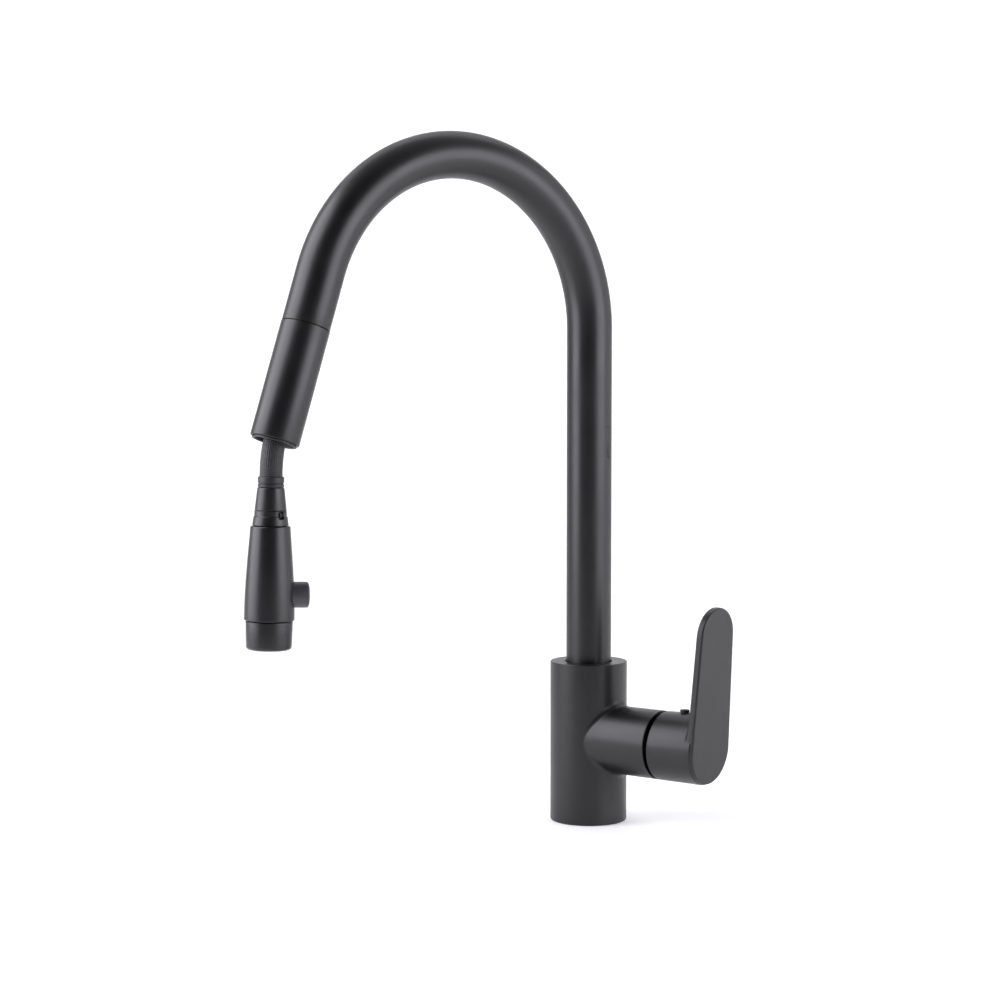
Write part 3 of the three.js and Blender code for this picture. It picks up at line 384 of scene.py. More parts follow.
def rounded(corners, steps=4):
    """Points of a profile. A corner is (radius, height) or (radius, height, rounding); the
    ends of an open profile stay sharp."""
    points = []
    count = len(corners)
    for i, corner in enumerate(corners):
        here = Vector(corner[:2])
        rounding = corner[2] if len(corner) > 2 else 0
        if not rounding:
            points.append(here)
            continue
        back = (Vector(corners[i - 1][:2]) - here).normalized()
        ahead = (Vector(corners[(i + 1) % count][:2]) - here).normalized()
        half = back.angle(ahead) / 2
        reach = rounding / math.tan(half)
        centre = here + (back + ahead).normalized() * rounding / math.sin(half)
        first = here + back * reach - centre
        sweep = first.angle_signed(here + ahead * reach - centre)
        for k in range(steps + 1):
            points.append(centre + Matrix.Rotation(-sweep * k / steps, 2) @ first)
    return points


def tidy(bm):
    bmesh.ops.remove_doubles(bm, verts=bm.verts, dist=1e-7)
    bmesh.ops.recalc_face_normals(bm, faces=bm.faces)
    return bm


def turned(points, steps=96, place=None, closed=True):
    """A turned body: the profile is spun once round Z. A closed profile is a ring's; an open
    one starts and ends on the axis."""
    bm = bmesh.new()
    verts = [bm.verts.new((p[0], 0, p[1])) for p in points]
    edges = [bm.edges.new(pair) for pair in zip(verts, verts[1:])]
    if closed:
        edges.append(bm.edges.new((verts[-1], verts[0])))
    bmesh.ops.spin(bm, geom=verts + edges, cent=(0, 0, 0), axis=(0, 0, 1),
                   angle=FULL_TURN, steps=steps, use_merge=True, use_duplicate=False)
    tidy(bm)
    bm.transform(place or Matrix())
    return bm


def swept(radius, sides, stretches, start):
    """A tube along straight stretches and bends in the XZ plane of its start frame. A stretch
    is (length, turn, steps), and a positive turn leans towards +X."""
    bm = bmesh.new()
    bmesh.ops.create_circle(bm, cap_ends=False, segments=sides, radius=radius)
    edges = bm.edges[:]
    here = Matrix()
    for span, turn, steps in stretches:
        if turn:
            bend = span / turn
            centre = here @ Vector((bend, 0, 0))
            made = bmesh.ops.spin(bm, geom=edges + list({v for e in edges for v in e.verts}),
                                  cent=centre, axis=here.to_3x3() @ Vector((0, 1, 0)),
                                  angle=turn, steps=steps, use_duplicate=False)
            edges = [e for e in made["geom_last"] if isinstance(e, bmesh.types.BMEdge)]
            about = Matrix.Translation((bend, 0, 0))
            here = here @ about @ Matrix.Rotation(turn, 4, "Y") @ about.inverted()
            continue
        for _ in range(steps):
            made = bmesh.ops.extrude_edge_only(bm, edges=edges)
            edges = [e for e in made["geom"] if isinstance(e, bmesh.types.BMEdge)]
            verts = [v for v in made["geom"] if isinstance(v, bmesh.types.BMVert)]
            step = here.to_3x3() @ Vector((0, 0, span / steps))
            bmesh.ops.translate(bm, verts=verts, vec=step)
            here = Matrix.Translation(step) @ here
    tidy(bm)
    bm.transform(start)
    return bm


def cylinder(radius, low, high, place, segments=32):
    bm = bmesh.new()
    middle = Matrix.Translation((0, 0, (low + high) / 2))
    bmesh.ops.create_cone(bm, cap_ends=True, segments=segments, radius1=radius, radius2=radius,
                          depth=high - low, matrix=place @ middle)
    return bm


def link(name, bm, material):
    mesh = bpy.data.meshes.new(name)
    bm.to_mesh(mesh)
    bm.free()
    mesh.materials.append(material)
    piece = bpy.data.objects.new(name, mesh)
    bpy.context.scene.collection.objects.link(piece)
    return piece


def combine(piece, cutter, operation="DIFFERENCE"):
    """Cuts a bmesh from a piece, or joins it on, and keeps the result as plain mesh."""
    tool = link("cutter", cutter, piece.data.materials[0])
    step = piece.modifiers.new("combine", "BOOLEAN")
    step.object = tool
    step.operation = operation
    step.solver = "EXACT"
    shaped = bpy.data.meshes.new_from_object(
        piece.evaluated_get(bpy.context.evaluated_depsgraph_get()))
    piece.modifiers.clear()
    old, spare = piece.data, tool.data
    name = old.name
    piece.data = shaped
    bpy.data.objects.remove(tool)
    bpy.data.meshes.remove(old)
    bpy.data.meshes.remove(spare)
    shaped.name = name
    return piece


def add_mesh(bm, other):
    """Adds a second bmesh's faces to a bmesh and frees the second."""
    mesh = bpy.data.meshes.new("part")
    other.to_mesh(mesh)
    other.free()
    bm.from_mesh(mesh)
    bpy.data.meshes.remove(mesh)


def hollow(piece, thickness):
    """Gives an open tube a wall, inwards from its surface."""
    wall = piece.modifiers.new("wall", "SOLIDIFY")
    wall.thickness = thickness
    wall.offset = -1


def soft_block(centre, size, rounding):
    """A block with all its edges rounded."""
    bm = bmesh.new()
    bmesh.ops.create_cube(bm, size=1, matrix=Matrix.Translation(centre)
                          @ Matrix.Diagonal((*size, 1)))
    bmesh.ops.bevel(bm, geom=bm.edges[:], offset=rounding, offset_type="OFFSET", segments=3,
                    profile=0.5, affect="EDGES", material=-1)
    return bm


def smooth(piece, angle=32, weighted=False):
    piece.data.polygons.foreach_set("use_smooth", [True] * len(piece.data.polygons))
    piece.data.set_sharp_from_angle(angle=math.radians(angle))
    if weighted:
        weights = piece.modifiers.new("even normals", "WEIGHTED_NORMAL")
        weights.keep_sharp = True
        weights.weight = 80


def settle(piece, body, slot, *nodes, angle=32, weighted=False):
    """Finishes a piece: its shading, its body and the solids that it stands for. The slot argument
    is not used.
    """
    smooth(piece, angle, weighted)
    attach(piece, body)
    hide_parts(*nodes)
    return piece


class FaucetStep(bpy.types.Operator):
    bl_options = {"REGISTER", "UNDO"}

    @property
    def sizes(self):
        return bpy.context.scene.faucet_sizes


# ---------------------------------------------------------------- base and valve

def branch_skin(sizes, border):
    """The branch with its cast fillet and the patch of the base's wall that it grows out of:
    a grid whose columns run round the branch and whose rows run from the patch's border, over
    the fillet, to the branch's end and down into the cartridge chamber."""
    radius, fillet = sizes.branch_radius, sizes.branch_fillet
    patch_rows, fillet_rows, wall_rows = 7, 9, 6
    inner = radius - 3.2 * MM
    floor_x = 22 * MM
    end = rounded([(0, 0), (radius, 0), (radius, BRANCH_END_X, 0.5 * MM),
                   (inner, BRANCH_END_X, 0.3 * MM), (inner, floor_x), (0, floor_x)])[2:]
    rows = patch_rows + fillet_rows + wall_rows + len(end)
    bm = bmesh.new()
    bmesh.ops.create_grid(bm, x_segments=len(border), y_segments=rows - 1, size=1)
    bm.verts.ensure_lookup_table()
    for vert in bm.verts:
        column = round((vert.co.x + 1) / 2 * len(border)) % len(border)
        row = round((vert.co.y + 1) / 2 * (rows - 1))
        turn_about, height = border[column]
        angle = math.atan2(height, BASE_RADIUS * turn_about)
        y = (radius + fillet) * math.cos(angle)
        z = (radius + fillet) * math.sin(angle)
        centre = Vector((math.sqrt((BASE_RADIUS + fillet) ** 2 - y * y), y, z))
        share = BASE_RADIUS / (BASE_RADIUS + fillet)
        on_wall = Vector((centre.x * share, centre.y * share, z))
        share = radius / (radius + fillet)
        on_branch = Vector((centre.x, y * share, z * share))
        if row < patch_rows:
            part = 1 - (1 - row / patch_rows) ** 1.5
            around = turn_about + (math.atan2(on_wall.y, on_wall.x) - turn_about) * part
            up = height + (z - height) * part
            vert.co = (BASE_RADIUS * math.cos(around), BASE_RADIUS * math.sin(around), up)
        elif row < patch_rows + fillet_rows:
            part = (row - patch_rows) / (fillet_rows - 1)
            arm = (on_wall - centre).slerp(on_branch - centre, part).normalized()
            vert.co = centre + arm * fillet
        elif row < patch_rows + fillet_rows + wall_rows:
            part = (row - patch_rows - fillet_rows + 1) / (wall_rows + 1)
            along = on_branch.x + (end[0][1] - on_branch.x) * part
            vert.co = (along, on_branch.y, on_branch.z)
        else:
            out, along = end[row - patch_rows - fillet_rows - wall_rows]
            vert.co = (along, out * math.cos(angle), out * math.sin(angle))
        vert.co.z += BRANCH_AXIS_Z
    return bm


class FAUCET_OT_base(FaucetStep):
    """Cast base with its valve branch, waterways, stud hole and gasket groove"""
    bl_idname = "faucet.base"
    bl_label = "Base casting"

    def execute(self, context):
        sizes = self.sizes
        around, up = 16, 20
        quarter = math.pi / 2
        half_height = 30 * MM
        steps = 4 * around
        hose_bore, swivel_bore, pocket = 8.5 * MM, 14.8 * MM, 17 * MM
        levels = [BRANCH_AXIS_Z - half_height + 2 * half_height * k / up for k in range(up + 1)]
        points = rounded([
            (hose_bore, 0), (BASE_RADIUS, 0, 1.3 * MM), (BASE_RADIUS, 12 * MM),
            *[(BASE_RADIUS, z) for z in levels], (BASE_RADIUS, 92 * MM),
            (BASE_RADIUS, BASE_HEIGHT, 0.5 * MM), (swivel_bore, BASE_HEIGHT, 0.4 * MM),
            (swivel_bore, 66 * MM), (pocket, 66 * MM), (pocket, 56 * MM), (hose_bore, 56 * MM)])
        bm = turned(points, steps)
        doomed = []
        for face in bm.faces:
            centre = face.calc_center_median()
            out = math.hypot(centre.x, centre.y)
            if out > pocket + 5 * MM and centre.x > 0 and levels[0] < centre.z < levels[-1]:
                doomed.append(face)
        bmesh.ops.delete(bm, geom=doomed, context="FACES")
        across = [quarter - 2 * quarter * k / (2 * around) for k in range(2 * around)]
        upward = [half_height - 2 * half_height * k / up for k in range(up)]
        border = ([(a, half_height) for a in across] + [(-quarter, z) for z in upward]
                  + [(-a, -half_height) for a in across] + [(quarter, -z) for z in upward])
        add_mesh(bm, branch_skin(sizes, border))
        bmesh.ops.remove_doubles(bm, verts=bm.verts, dist=1e-6)
        bmesh.ops.recalc_face_normals(bm, faces=bm.faces)
        piece = link("base", bm, finish("coating"))
        ports = [(11.6, 10.5, 4.6), (11.6, -10.5, 4.6), (13.7, 0, 4.6), (-16.25, 0, 3)]
        for x, y, radius in ports:
            place = Matrix.Translation((x * MM, y * MM, 0))
            combine(piece, cylinder(radius * MM, -MM, 12 * MM, place))
        groove = turned(rounded([(20.95 * MM, -MM), (22.65 * MM, -MM), (22.65 * MM, 1.8 * MM),
                                 (20.95 * MM, 1.8 * MM)]))
        combine(piece, groove)
        settle(piece, "base", "coated_brass", "body_casting", weighted=True)
        return {"FINISHED"}


# ---------------------------------------------------------------- lever

LEVER_FACE_X = 90.9 * MM
LEVER_LEAN = math.radians(3.9)
HUB_REAR_X = BRANCH_END_X + 2.6 * MM
HUB_RELIEF = math.radians(3)
HUB_RISE = math.radians(1)
PLATE_PLACE = (Matrix.Translation((LEVER_FACE_X, 0, BRANCH_AXIS_Z))
               @ Matrix.Rotation(LEVER_LEAN, 4, "Y")
               @ Matrix(((0, 0, 1, 0), (1, 0, 0, 0), (0, 1, 0, 0), (0, 0, 0, 1))))


def plate_prism(sizes, low, high, inset=0.0):
    """The lever plate's outline as a prism along its own Z: the hull of two discs."""
    bm = bmesh.new()
    depth = high - low
    for y, radius in ((0, sizes.plate_foot_radius), (sizes.plate_centres, sizes.plate_tip_radius)):
        bmesh.ops.create_cone(bm, cap_ends=True, segments=128, radius1=radius - inset,
                              radius2=radius - inset, depth=depth,
                              matrix=Matrix.Translation((0, y, (low + high) / 2)))
    hull = bmesh.ops.convex_hull(bm, input=bm.verts)
    spare = set(hull["geom_interior"]) | set(hull["geom_unused"])
    bmesh.ops.delete(bm, geom=[g for g in spare if isinstance(g, bmesh.types.BMVert)],
                     context="VERTS")
    bmesh.ops.remove_doubles(bm, verts=bm.verts, dist=1e-7)
    bmesh.ops.dissolve_limit(bm, angle_limit=math.radians(0.4), verts=bm.verts, edges=bm.edges)
    bmesh.ops.recalc_face_normals(bm, faces=bm.faces)
    return bm


def hub_collar(sizes, hub_place):
    """The fillet between the hub and the plate's rear face, as a ring to be joined on: a ball
    rolled round the hub, touching both."""
    columns, arc_steps = 128, 8
    fillet = sizes.hub_fillet
    sink = 0.02 * MM
    to_hub = hub_place.inverted()
    face_point = to_hub @ PLATE_PLACE @ Vector((0, 0, -sizes.plate_thickness))
    face_normal = (to_hub @ PLATE_PLACE).to_3x3() @ Vector((0, 0, 1))
    bm = bmesh.new()
    rows = arc_steps + 3
    bmesh.ops.create_grid(bm, x_segments=columns, y_segments=rows, size=1)
    for vert in bm.verts:
        column = round((vert.co.x + 1) / 2 * columns) % columns
        row = round((vert.co.y + 1) / 2 * rows) % rows
        angle = FULL_TURN * column / columns
        out = Vector((math.cos(angle), math.sin(angle), 0))
        radius = sizes.hub_front_radius - sink
        level = (face_point - out * (radius + fillet)).dot(face_normal) / face_normal.z
        centre = out * (radius + fillet) + Vector((0, 0, level - (fillet - sink) / face_normal.z))
        on_hub = -out * fillet
        on_plate = face_normal * fillet
        if row <= arc_steps:
            vert.co = centre + on_hub.slerp(on_plate, row / arc_steps).normalized() * fillet
        elif row == arc_steps + 1:
            vert.co = centre + on_plate + face_normal * MM
        else:
            vert.co = centre + on_hub * 1.6 + face_normal * (fillet + MM)
    tidy(bm)
    bm.transform(hub_place)
    return bm


class FAUCET_OT_lever(FaucetStep):
    """Lever handle: a hollow hub that runs into a long flat plate with rounded ends"""
    bl_idname = "faucet.lever"
    bl_label = "Lever handle"

    def execute(self, context):
        sizes = self.sizes
        bm = plate_prism(sizes, -sizes.plate_thickness, 0)
        rims = [e for e in bm.edges if e.calc_face_angle(0) > math.radians(60)]
        bmesh.ops.bevel(bm, geom=rims, offset=sizes.plate_edge, offset_type="OFFSET", segments=5,
                        profile=0.5, affect="EDGES", material=-1)
        bm.transform(PLATE_PLACE)
        piece = link("lever", bm, finish("coating"))
        hub_place = (Matrix.Translation((HUB_REAR_X, 0, BRANCH_AXIS_Z))
                     @ Matrix.Rotation(math.pi / 2 - HUB_RISE, 4, "Y"))
        hub_length = LEVER_FACE_X - HUB_REAR_X - 1.4 * MM
        cavity = sizes.hub_radius - 1.9 * MM
        floor = 78.1 * MM - HUB_REAR_X
        ring = link("collar", hub_collar(sizes, hub_place), finish("coating"))
        prism = plate_prism(sizes, -40 * MM, -1.5 * MM, 0.03 * MM)
        prism.transform(PLATE_PLACE)
        combine(ring, prism, "INTERSECT")
        hub = turned(rounded([
            (0, floor), (cavity, floor, 0.6 * MM), (cavity, 0, 0.3 * MM),
            (sizes.hub_radius, 0, 0.45 * MM), (sizes.hub_front_radius, hub_length, 1.2 * MM),
            (0, hub_length)]), 128, closed=False)
        for vert in hub.verts:
            share = max(0, 1 - vert.co.z / (14 * MM))
            vert.co.z -= math.tan(HUB_RELIEF) * vert.co.x * share
        front = hub_length - 3 * MM
        for vert in hub.verts:
            if vert.co.z > front:
                vert.co.z -= math.tan(LEVER_LEAN + HUB_RISE) * vert.co.x
        hub.transform(hub_place)
        combine(piece, hub, "UNION")
        both = bmesh.new()
        both.from_mesh(ring.data)
        bpy.data.objects.remove(ring)
        combine(piece, both, "UNION")
        settle(piece, "lever", "coated_zinc", "lever_handle", angle=28, weighted=True)
        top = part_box("screw_plug")[1][2]
        place = Matrix.Translation((72 * MM, 0, top))
        plug = turned(rounded([(0, 0), (2.9 * MM, 0, 0.45 * MM), (2.9 * MM, -1.5 * MM),
                               (2.4 * MM, -1.5 * MM), (2.4 * MM, -5 * MM), (0, -5 * MM)]),
                      48, place, closed=False)
        settle(link("lever_plug", plug, finish("rubber")), "lever", "rubber", "screw_plug")
        return {"FINISHED"}


# ---------------------------------------------------------------- spout

class FAUCET_OT_spout(FaucetStep):
    """Bent spout tube, its end sleeve and the docking liner in the sleeve's mouth"""
    bl_idname = "faucet.spout"
    bl_label = "Spout"

    def execute(self, context):
        sizes = self.sizes
        soft = 0.25 * MM
        radius = sizes.tube_radius
        bm = swept(radius, 96, [
            (BEND_START_Z - TUBE_FOOT_Z, 0, 24), (BEND_RADIUS * BEND_TURN, BEND_TURN, 120),
            (TAIL_LENGTH - soft, 0, 4), (soft, 0, 2)],
            Matrix.Translation((0, 0, TUBE_FOOT_Z)))
        bm.transform(SPOUT_PLACE)
        to_sleeve = SLEEVE_PLACE.inverted()
        for vert in bm.verts:
            local = to_sleeve @ vert.co
            if -TAIL_LENGTH - soft < local.z < -TAIL_LENGTH + soft * 0.99:
                down = (-TAIL_LENGTH + soft - local.z) / soft
                scale = (radius - soft * (1 - math.sqrt(max(0, 1 - down * down)))) / radius
                local.x *= scale
                local.y *= scale
                vert.co = SLEEVE_PLACE @ local
        tube = link("spout_arch", bm, finish("coating"))
        hollow(tube, sizes.tube_wall)
        settle(tube, "spout", "coated_steel", "spout_tube")

        outer = sizes.sleeve_radius
        bore = outer - sizes.tube_wall
        top = -TAIL_LENGTH - 0.45 * MM
        sleeve = turned(rounded([
            (bore, MOUTH_Z, 0.2 * MM), (outer, MOUTH_Z, 0.45 * MM), (outer, top, soft),
            (bore, top, 0.1 * MM)]), 96, SLEEVE_PLACE)
        settle(link("spout_end", sleeve, finish("coating")), "spout", "coated_steel", "end_sleeve")

        low = MOUTH_Z - GAP - 1 * MM
        liner = turned(rounded([
            (11.2 * MM, MOUTH_Z + 25 * MM), (11.2 * MM, low, 0.6 * MM),
            (outer - 1.2 * MM, low, 0.4 * MM), (outer - 1.2 * MM, MOUTH_Z - GAP, 0.1 * MM),
            (12.4 * MM, MOUTH_Z - GAP), (12.4 * MM, MOUTH_Z + 25 * MM)]), 96, SLEEVE_PLACE)
        settle(link("spout_liner", liner, finish("nylon")), "spout", "black_nylon",
               "docking_liner")
        return {"FINISHED"}


# ---------------------------------------------------------------- hose

def hose_frame():
    """Where the visible hose starts, inside the sleeve, looking down its axis."""
    start = 14 * MM
    return SLEEVE_PLACE @ Matrix.Translation((0, 0, MOUTH_Z + start)) @ Matrix.Rotation(
        math.pi, 4, "Y"), start


class FAUCET_OT_hose(FaucetStep):
    """Braided hose between the sleeve and the spray head, and the length that is drawn out"""
    bl_idname = "faucet.hose"
    bl_label = "Braided hose"

    def execute(self, context):
        sizes = self.sizes
        radius = sizes.hose_radius
        carriers = hose_carriers(sizes)
        start, inside = hose_frame()
        straight = inside + HOSE_BEND_BELOW_SLEEVE - HOSE_BEND_REACH
        arc = HOSE_BEND_REACH * HOSE_TURN / math.tan(HOSE_TURN / 2)
        end = -COLLAR_FOOT - GAP - HOSE_BEND_REACH
        step = 0.4 * MM
        spans = [(straight, 0), (arc, HOSE_TURN), (end, 0)]
        bm = swept(radius, 144, [(span, turn, round(span / step)) for span, turn in spans],
                   Matrix())
        layer = bm.verts.layers.float_vector.new("hose_place")
        bend = arc / HOSE_TURN
        for vert in bm.verts:
            across, y, down = vert.co
            if down <= straight:
                flat = Vector((across, y, down))
            else:
                turn = math.atan2(down - straight, bend - across)
                if turn < HOSE_TURN:
                    reach = math.hypot(bend - across, down - straight)
                    flat = Vector((bend - reach, y, straight + bend * turn))
                else:
                    corner = Vector((bend - bend * math.cos(HOSE_TURN),
                                     straight + bend * math.sin(HOSE_TURN)))
                    along = Vector((math.sin(HOSE_TURN), math.cos(HOSE_TURN)))
                    side = Vector((math.cos(HOSE_TURN), -math.sin(HOSE_TURN)))
                    offset = Vector((across, down)) - corner
                    flat = Vector((offset.dot(side), y, straight + arc + offset.dot(along)))
            vert[layer] = flat
            angle = math.atan2(flat.y, flat.x) * carriers / 2
            wave = (math.sin(angle + math.pi * flat.z / sizes.strand)
                    * math.sin(angle - math.pi * flat.z / sizes.strand))
            vert.co += vert.normal * sizes.braid_relief * (wave - 0.6) / 1.6
        bm.transform(start)
        piece = link("hose_visible", bm, finish("braid"))
        hollow(piece, HOSE_WALL)
        smooth(piece, 80)
        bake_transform(piece)
        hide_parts("hose_bend")

        first, last = COLLAR_TOP - 0.5 * MM, COLLAR_FOOT + 0.5 * MM
        rows = 40
        drawn = swept(radius - 0.15 * MM, 96, [(last - first, 0, rows)],
                      HEAD_PLACE @ Matrix.Translation((0, 0, first)))
        piece = link("hose_drawn_out", drawn, finish("straight_braid"))
        hollow(piece, HOSE_WALL)
        smooth(piece, 80)
        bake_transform(piece)
        return {"FINISHED"}


# ---------------------------------------------------------------- neck of the spray head

class FAUCET_OT_neck(FaucetStep):
    """Hose collar, cone, connector ring and its latch, which join the hose to the head"""
    bl_idname = "faucet.neck"
    bl_label = "Neck"

    def execute(self, context):
        bore = self.sizes.hose_radius + GAP
        outer = 7.4 * MM
        waist = outer - 0.45 * MM
        small = 0.18 * MM
        collar = turned(rounded([
            (bore, COLLAR_FOOT), (outer, COLLAR_FOOT, small),
            (outer, COLLAR_FOOT + 1.5 * MM, small), (waist, COLLAR_FOOT + 1.75 * MM),
            (waist, COLLAR_FOOT + 2.15 * MM), (outer, COLLAR_FOOT + 2.4 * MM, small),
            (outer, COLLAR_TOP, 0.5 * MM), (bore, COLLAR_TOP, 0.1 * MM)]), 96, HEAD_PLACE)
        settle(link("neck_collar", collar, finish("nylon")), "neck", "black_nylon", "hose_collar")

        cone = turned(rounded([
            (5 * MM, CONE_FOOT), (9.05 * MM, CONE_FOOT, 0.15 * MM),
            (outer + 0.3 * MM, CONE_TOP - 0.8 * MM, 0.6 * MM), (outer + 0.1 * MM, CONE_TOP, small),
            (5 * MM, CONE_TOP)]), 96, HEAD_PLACE)
        settle(link("neck_sleeve", cone, finish("moulded")), "neck", "coated_plastic", "neck_cone")

        waist = 9.15 * MM
        ring = turned(rounded([
            (6 * MM, RING_FOOT), (10.3 * MM, RING_FOOT, 0.2 * MM),
            (9.6 * MM, RING_TOP - 3.4 * MM, 0.25 * MM), (waist, RING_TOP - 3.05 * MM, 0.15 * MM),
            (waist, RING_TOP, 0.25 * MM), (6 * MM, RING_TOP)]), 96, HEAD_PLACE)
        piece = link("neck_ring", ring, finish("moulded"))
        turn = math.radians(-7) - SPOUT_AZIMUTH
        height = 4.4 * MM
        middle = RING_TOP - 0.3 * MM - height / 2
        place = HEAD_PLACE @ Matrix.Rotation(turn, 4, "Z")
        window = soft_block((10.05 * MM, 0, middle), (6 * MM, 3.8 * MM, height), 0.5 * MM)
        window.transform(place)
        combine(piece, window)
        settle(piece, "neck", "coated_plastic", "connector_ring", weighted=True)

        latch = soft_block((8 * MM, 0.5 * MM, middle), (1.3 * MM, 2.2 * MM, height - 1.6 * MM),
                           0.25 * MM)
        latch.transform(place)
        settle(link("neck_latch", latch, finish("blackened")), "neck", "steel", "connector_latch")
        return {"FINISHED"}


# ---------------------------------------------------------------- spray head

class FAUCET_OT_head(FaucetStep):
    """Spray head: shell, nozzle cap, spray face with rubber nozzles, and the aerator"""
    bl_idname = "faucet.head"
    bl_label = "Spray head"

    def execute(self, context):
        sizes = self.sizes
        wall = 1.8 * MM
        slim, full = sizes.shell_top_radius, sizes.shell_radius
        bore = 8.7 * MM
        rings = 22
        outside = []
        for k in range(1, rings):
            down = k / rings
            radius = slim + (full - slim) * math.sin(down * math.pi / 2) ** 1.12
            outside.append((radius, SHELL_TOP - down * SHELL_HEIGHT))
        inside = [(max(r - wall, bore), z) for r, z in reversed(outside)]
        shell = turned(rounded([
            (bore, SHELL_TOP, 0.2 * MM), (slim, SHELL_TOP, 0.7 * MM), *outside,
            (full, SHELL_FOOT, 0.55 * MM), (full - wall, SHELL_FOOT), *inside]), 128, SWIVEL_PLACE)
        piece = link("head_barrel", shell, finish("moulded"))
        press = SWIVEL_PLACE @ Matrix.Translation((0, 0, BUTTON_Z)) @ Matrix.Rotation(
            -math.pi / 2, 4, "Y")
        combine(piece, cylinder(sizes.button_radius + GAP, 0, 22 * MM, press, 64))
        settle(piece, "spray_head", "coated_plastic", "head_shell", weighted=True)

        inner = 10.65 * MM
        cap = turned(rounded([
            (inner, CAP_TOP), (13.35 * MM, CAP_TOP, 0.4 * MM),
            (12.85 * MM, CAP_FOOT, 2.0 * MM), (inner + 0.3 * MM, CAP_FOOT, 0.3 * MM),
            (inner, CAP_FOOT + 0.8 * MM)], 6), 128, SWIVEL_PLACE)
        settle(link("head_cap", cap, finish("moulded")), "spray_head", "coated_plastic",
               "nozzle_cap")

        rim = inner * 0.52
        low = CAP_FOOT + 0.9 * MM
        edge = inner - GAP
        face = turned(rounded([
            (rim + GAP, low, 0.2 * MM), (edge, low, 0.3 * MM), (edge, low + FACE_DEPTH),
            (rim + GAP, low + FACE_DEPTH)]), 96, SWIVEL_PLACE)
        middle = (rim + edge + GAP) / 2
        for nozzles, radius, phase in ((12, middle, 0), (16, middle + 1.75 * MM, 0.5),
                                       (10, middle - 1.5 * MM, 0.5)):
            for k in range(nozzles):
                angle = FULL_TURN * (k + phase) / nozzles
                spot = SWIVEL_PLACE @ Matrix.Translation(
                    (radius * math.cos(angle), radius * math.sin(angle), low))
                add_mesh(face, turned(rounded([
                    (0.28 * MM, 0.9 * MM), (0.28 * MM, -0.65 * MM),
                    (0.5 * MM, -0.65 * MM, 0.1 * MM), (0.75 * MM, 0.25 * MM),
                    (0.75 * MM, 0.9 * MM)], 2), 12, spot))
        settle(link("head_spray_face", face, finish("rubber")), "spray_head", "rubber",
               "spray_plate")

        low = CAP_FOOT + 1.2 * MM
        insert = turned(rounded([
            (0, low + 0.5 * MM), (rim - 0.9 * MM, low + 0.5 * MM), (rim - 0.7 * MM, low, 0.1 * MM),
            (rim, low, 0.2 * MM), (rim, low + 8 * MM), (0, low + 8 * MM)]), 64, SWIVEL_PLACE,
            closed=False)
        piece = link("head_aerator", insert, finish("acetal"))
        cells = bmesh.new()
        pitch = 1.32 * MM
        for row in range(-3, 4):
            for column in range(-3, 4):
                x = (column + row / 2) * pitch
                y = row * pitch * math.sqrt(3) / 2
                if math.hypot(x, y) < rim - 1.45 * MM:
                    spot = SWIVEL_PLACE @ Matrix.Translation((x, y, low + 1.2 * MM))
                    bmesh.ops.create_cone(cells, cap_ends=True, segments=6, radius1=0.6 * MM,
                                          radius2=0.6 * MM, depth=2.4 * MM, matrix=spot)
        combine(piece, cells)
        settle(piece, "spray_head", "acetal", "aerator")

        button = turned(rounded([
            (0, 12 * MM), (sizes.button_radius, 12 * MM),
            (sizes.button_radius, 22.1 * MM, 1.2 * MM),
            (4.5 * MM, 21.95 * MM), (2.5 * MM, 21.7 * MM), (0, 21.6 * MM)], 6),
            96, press, closed=False)
        settle(link("head_button", button, finish("button")), "button", "black_nylon",
               "spray_button")
        return {"FINISHED"}


# ---------------------------------------------------------------- inner pieces

INNER_FINISHES = {
    "rubber": ["base_gasket", "dust_seal", "cartridge_seal", "cap_oring", "spigot_oring_1",
               "spigot_oring_2"],
    "acetal": ["upper_bush", "lower_bush", "head_core", "check_valve", "flow_divider"],
    "brass": ["hose_connector", "cartridge_stem", "spout_foot", "sleeve_coupling",
              "diverter_spool"],
    # painted shade: the cartridge nut gets this dark metal so that it shows black in the gap
    # between the branch and the lever hub
    "blackened": ["cartridge_nut", "swivel_spigot"],
    "nylon": ["cartridge_body", "dome_cap", "stem_carrier"],
    "ceramic": ["fixed_disc", "moving_disc"],
    "steel": ["stem_pin", "handle_screw", "retaining_ring", "hose_ferrule", "filter_screen",
              "button_spring"],
    "straight_braid": ["hose_in_spout", "hose_in_sleeve"],
}


class FAUCET_OT_inner(FaucetStep):
    """Finishes of the pieces inside: cartridge, bushes, seals, connectors and spring"""
    bl_idname = "faucet.inner"
    bl_label = "Inner pieces"

    def execute(self, context):
        for name, nodes in INNER_FINISHES.items():
            for node in nodes:
                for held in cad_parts[node].material_slots:
                    held.material = finish(name)
        return {"FINISHED"}


# ---------------------------------------------------------------- stage

COOL_WHITE = (0.94, 0.93, 1.0)
CAMERA_PLACE = (0.85107, -1.20058, 0.301765)
CAMERA_PITCH = math.radians(3.9)        # looking down
CAMERA_LENS = 84.896
SWEEP_WIDTH = 5


def soft_light(name, place, target, width, height, power):
    light = bpy.data.lights.new(name, "AREA")
    light.shape = "RECTANGLE"
    light.size = width
    light.size_y = height
    light.energy = power
    light.color = COOL_WHITE
    holder = bpy.data.objects.new(name, light)
    bpy.context.scene.collection.objects.link(holder)
    holder.location = place
    holder.rotation_euler = (Vector(target) - Vector(place)).to_track_quat("-Z", "Y").to_euler()
    return holder


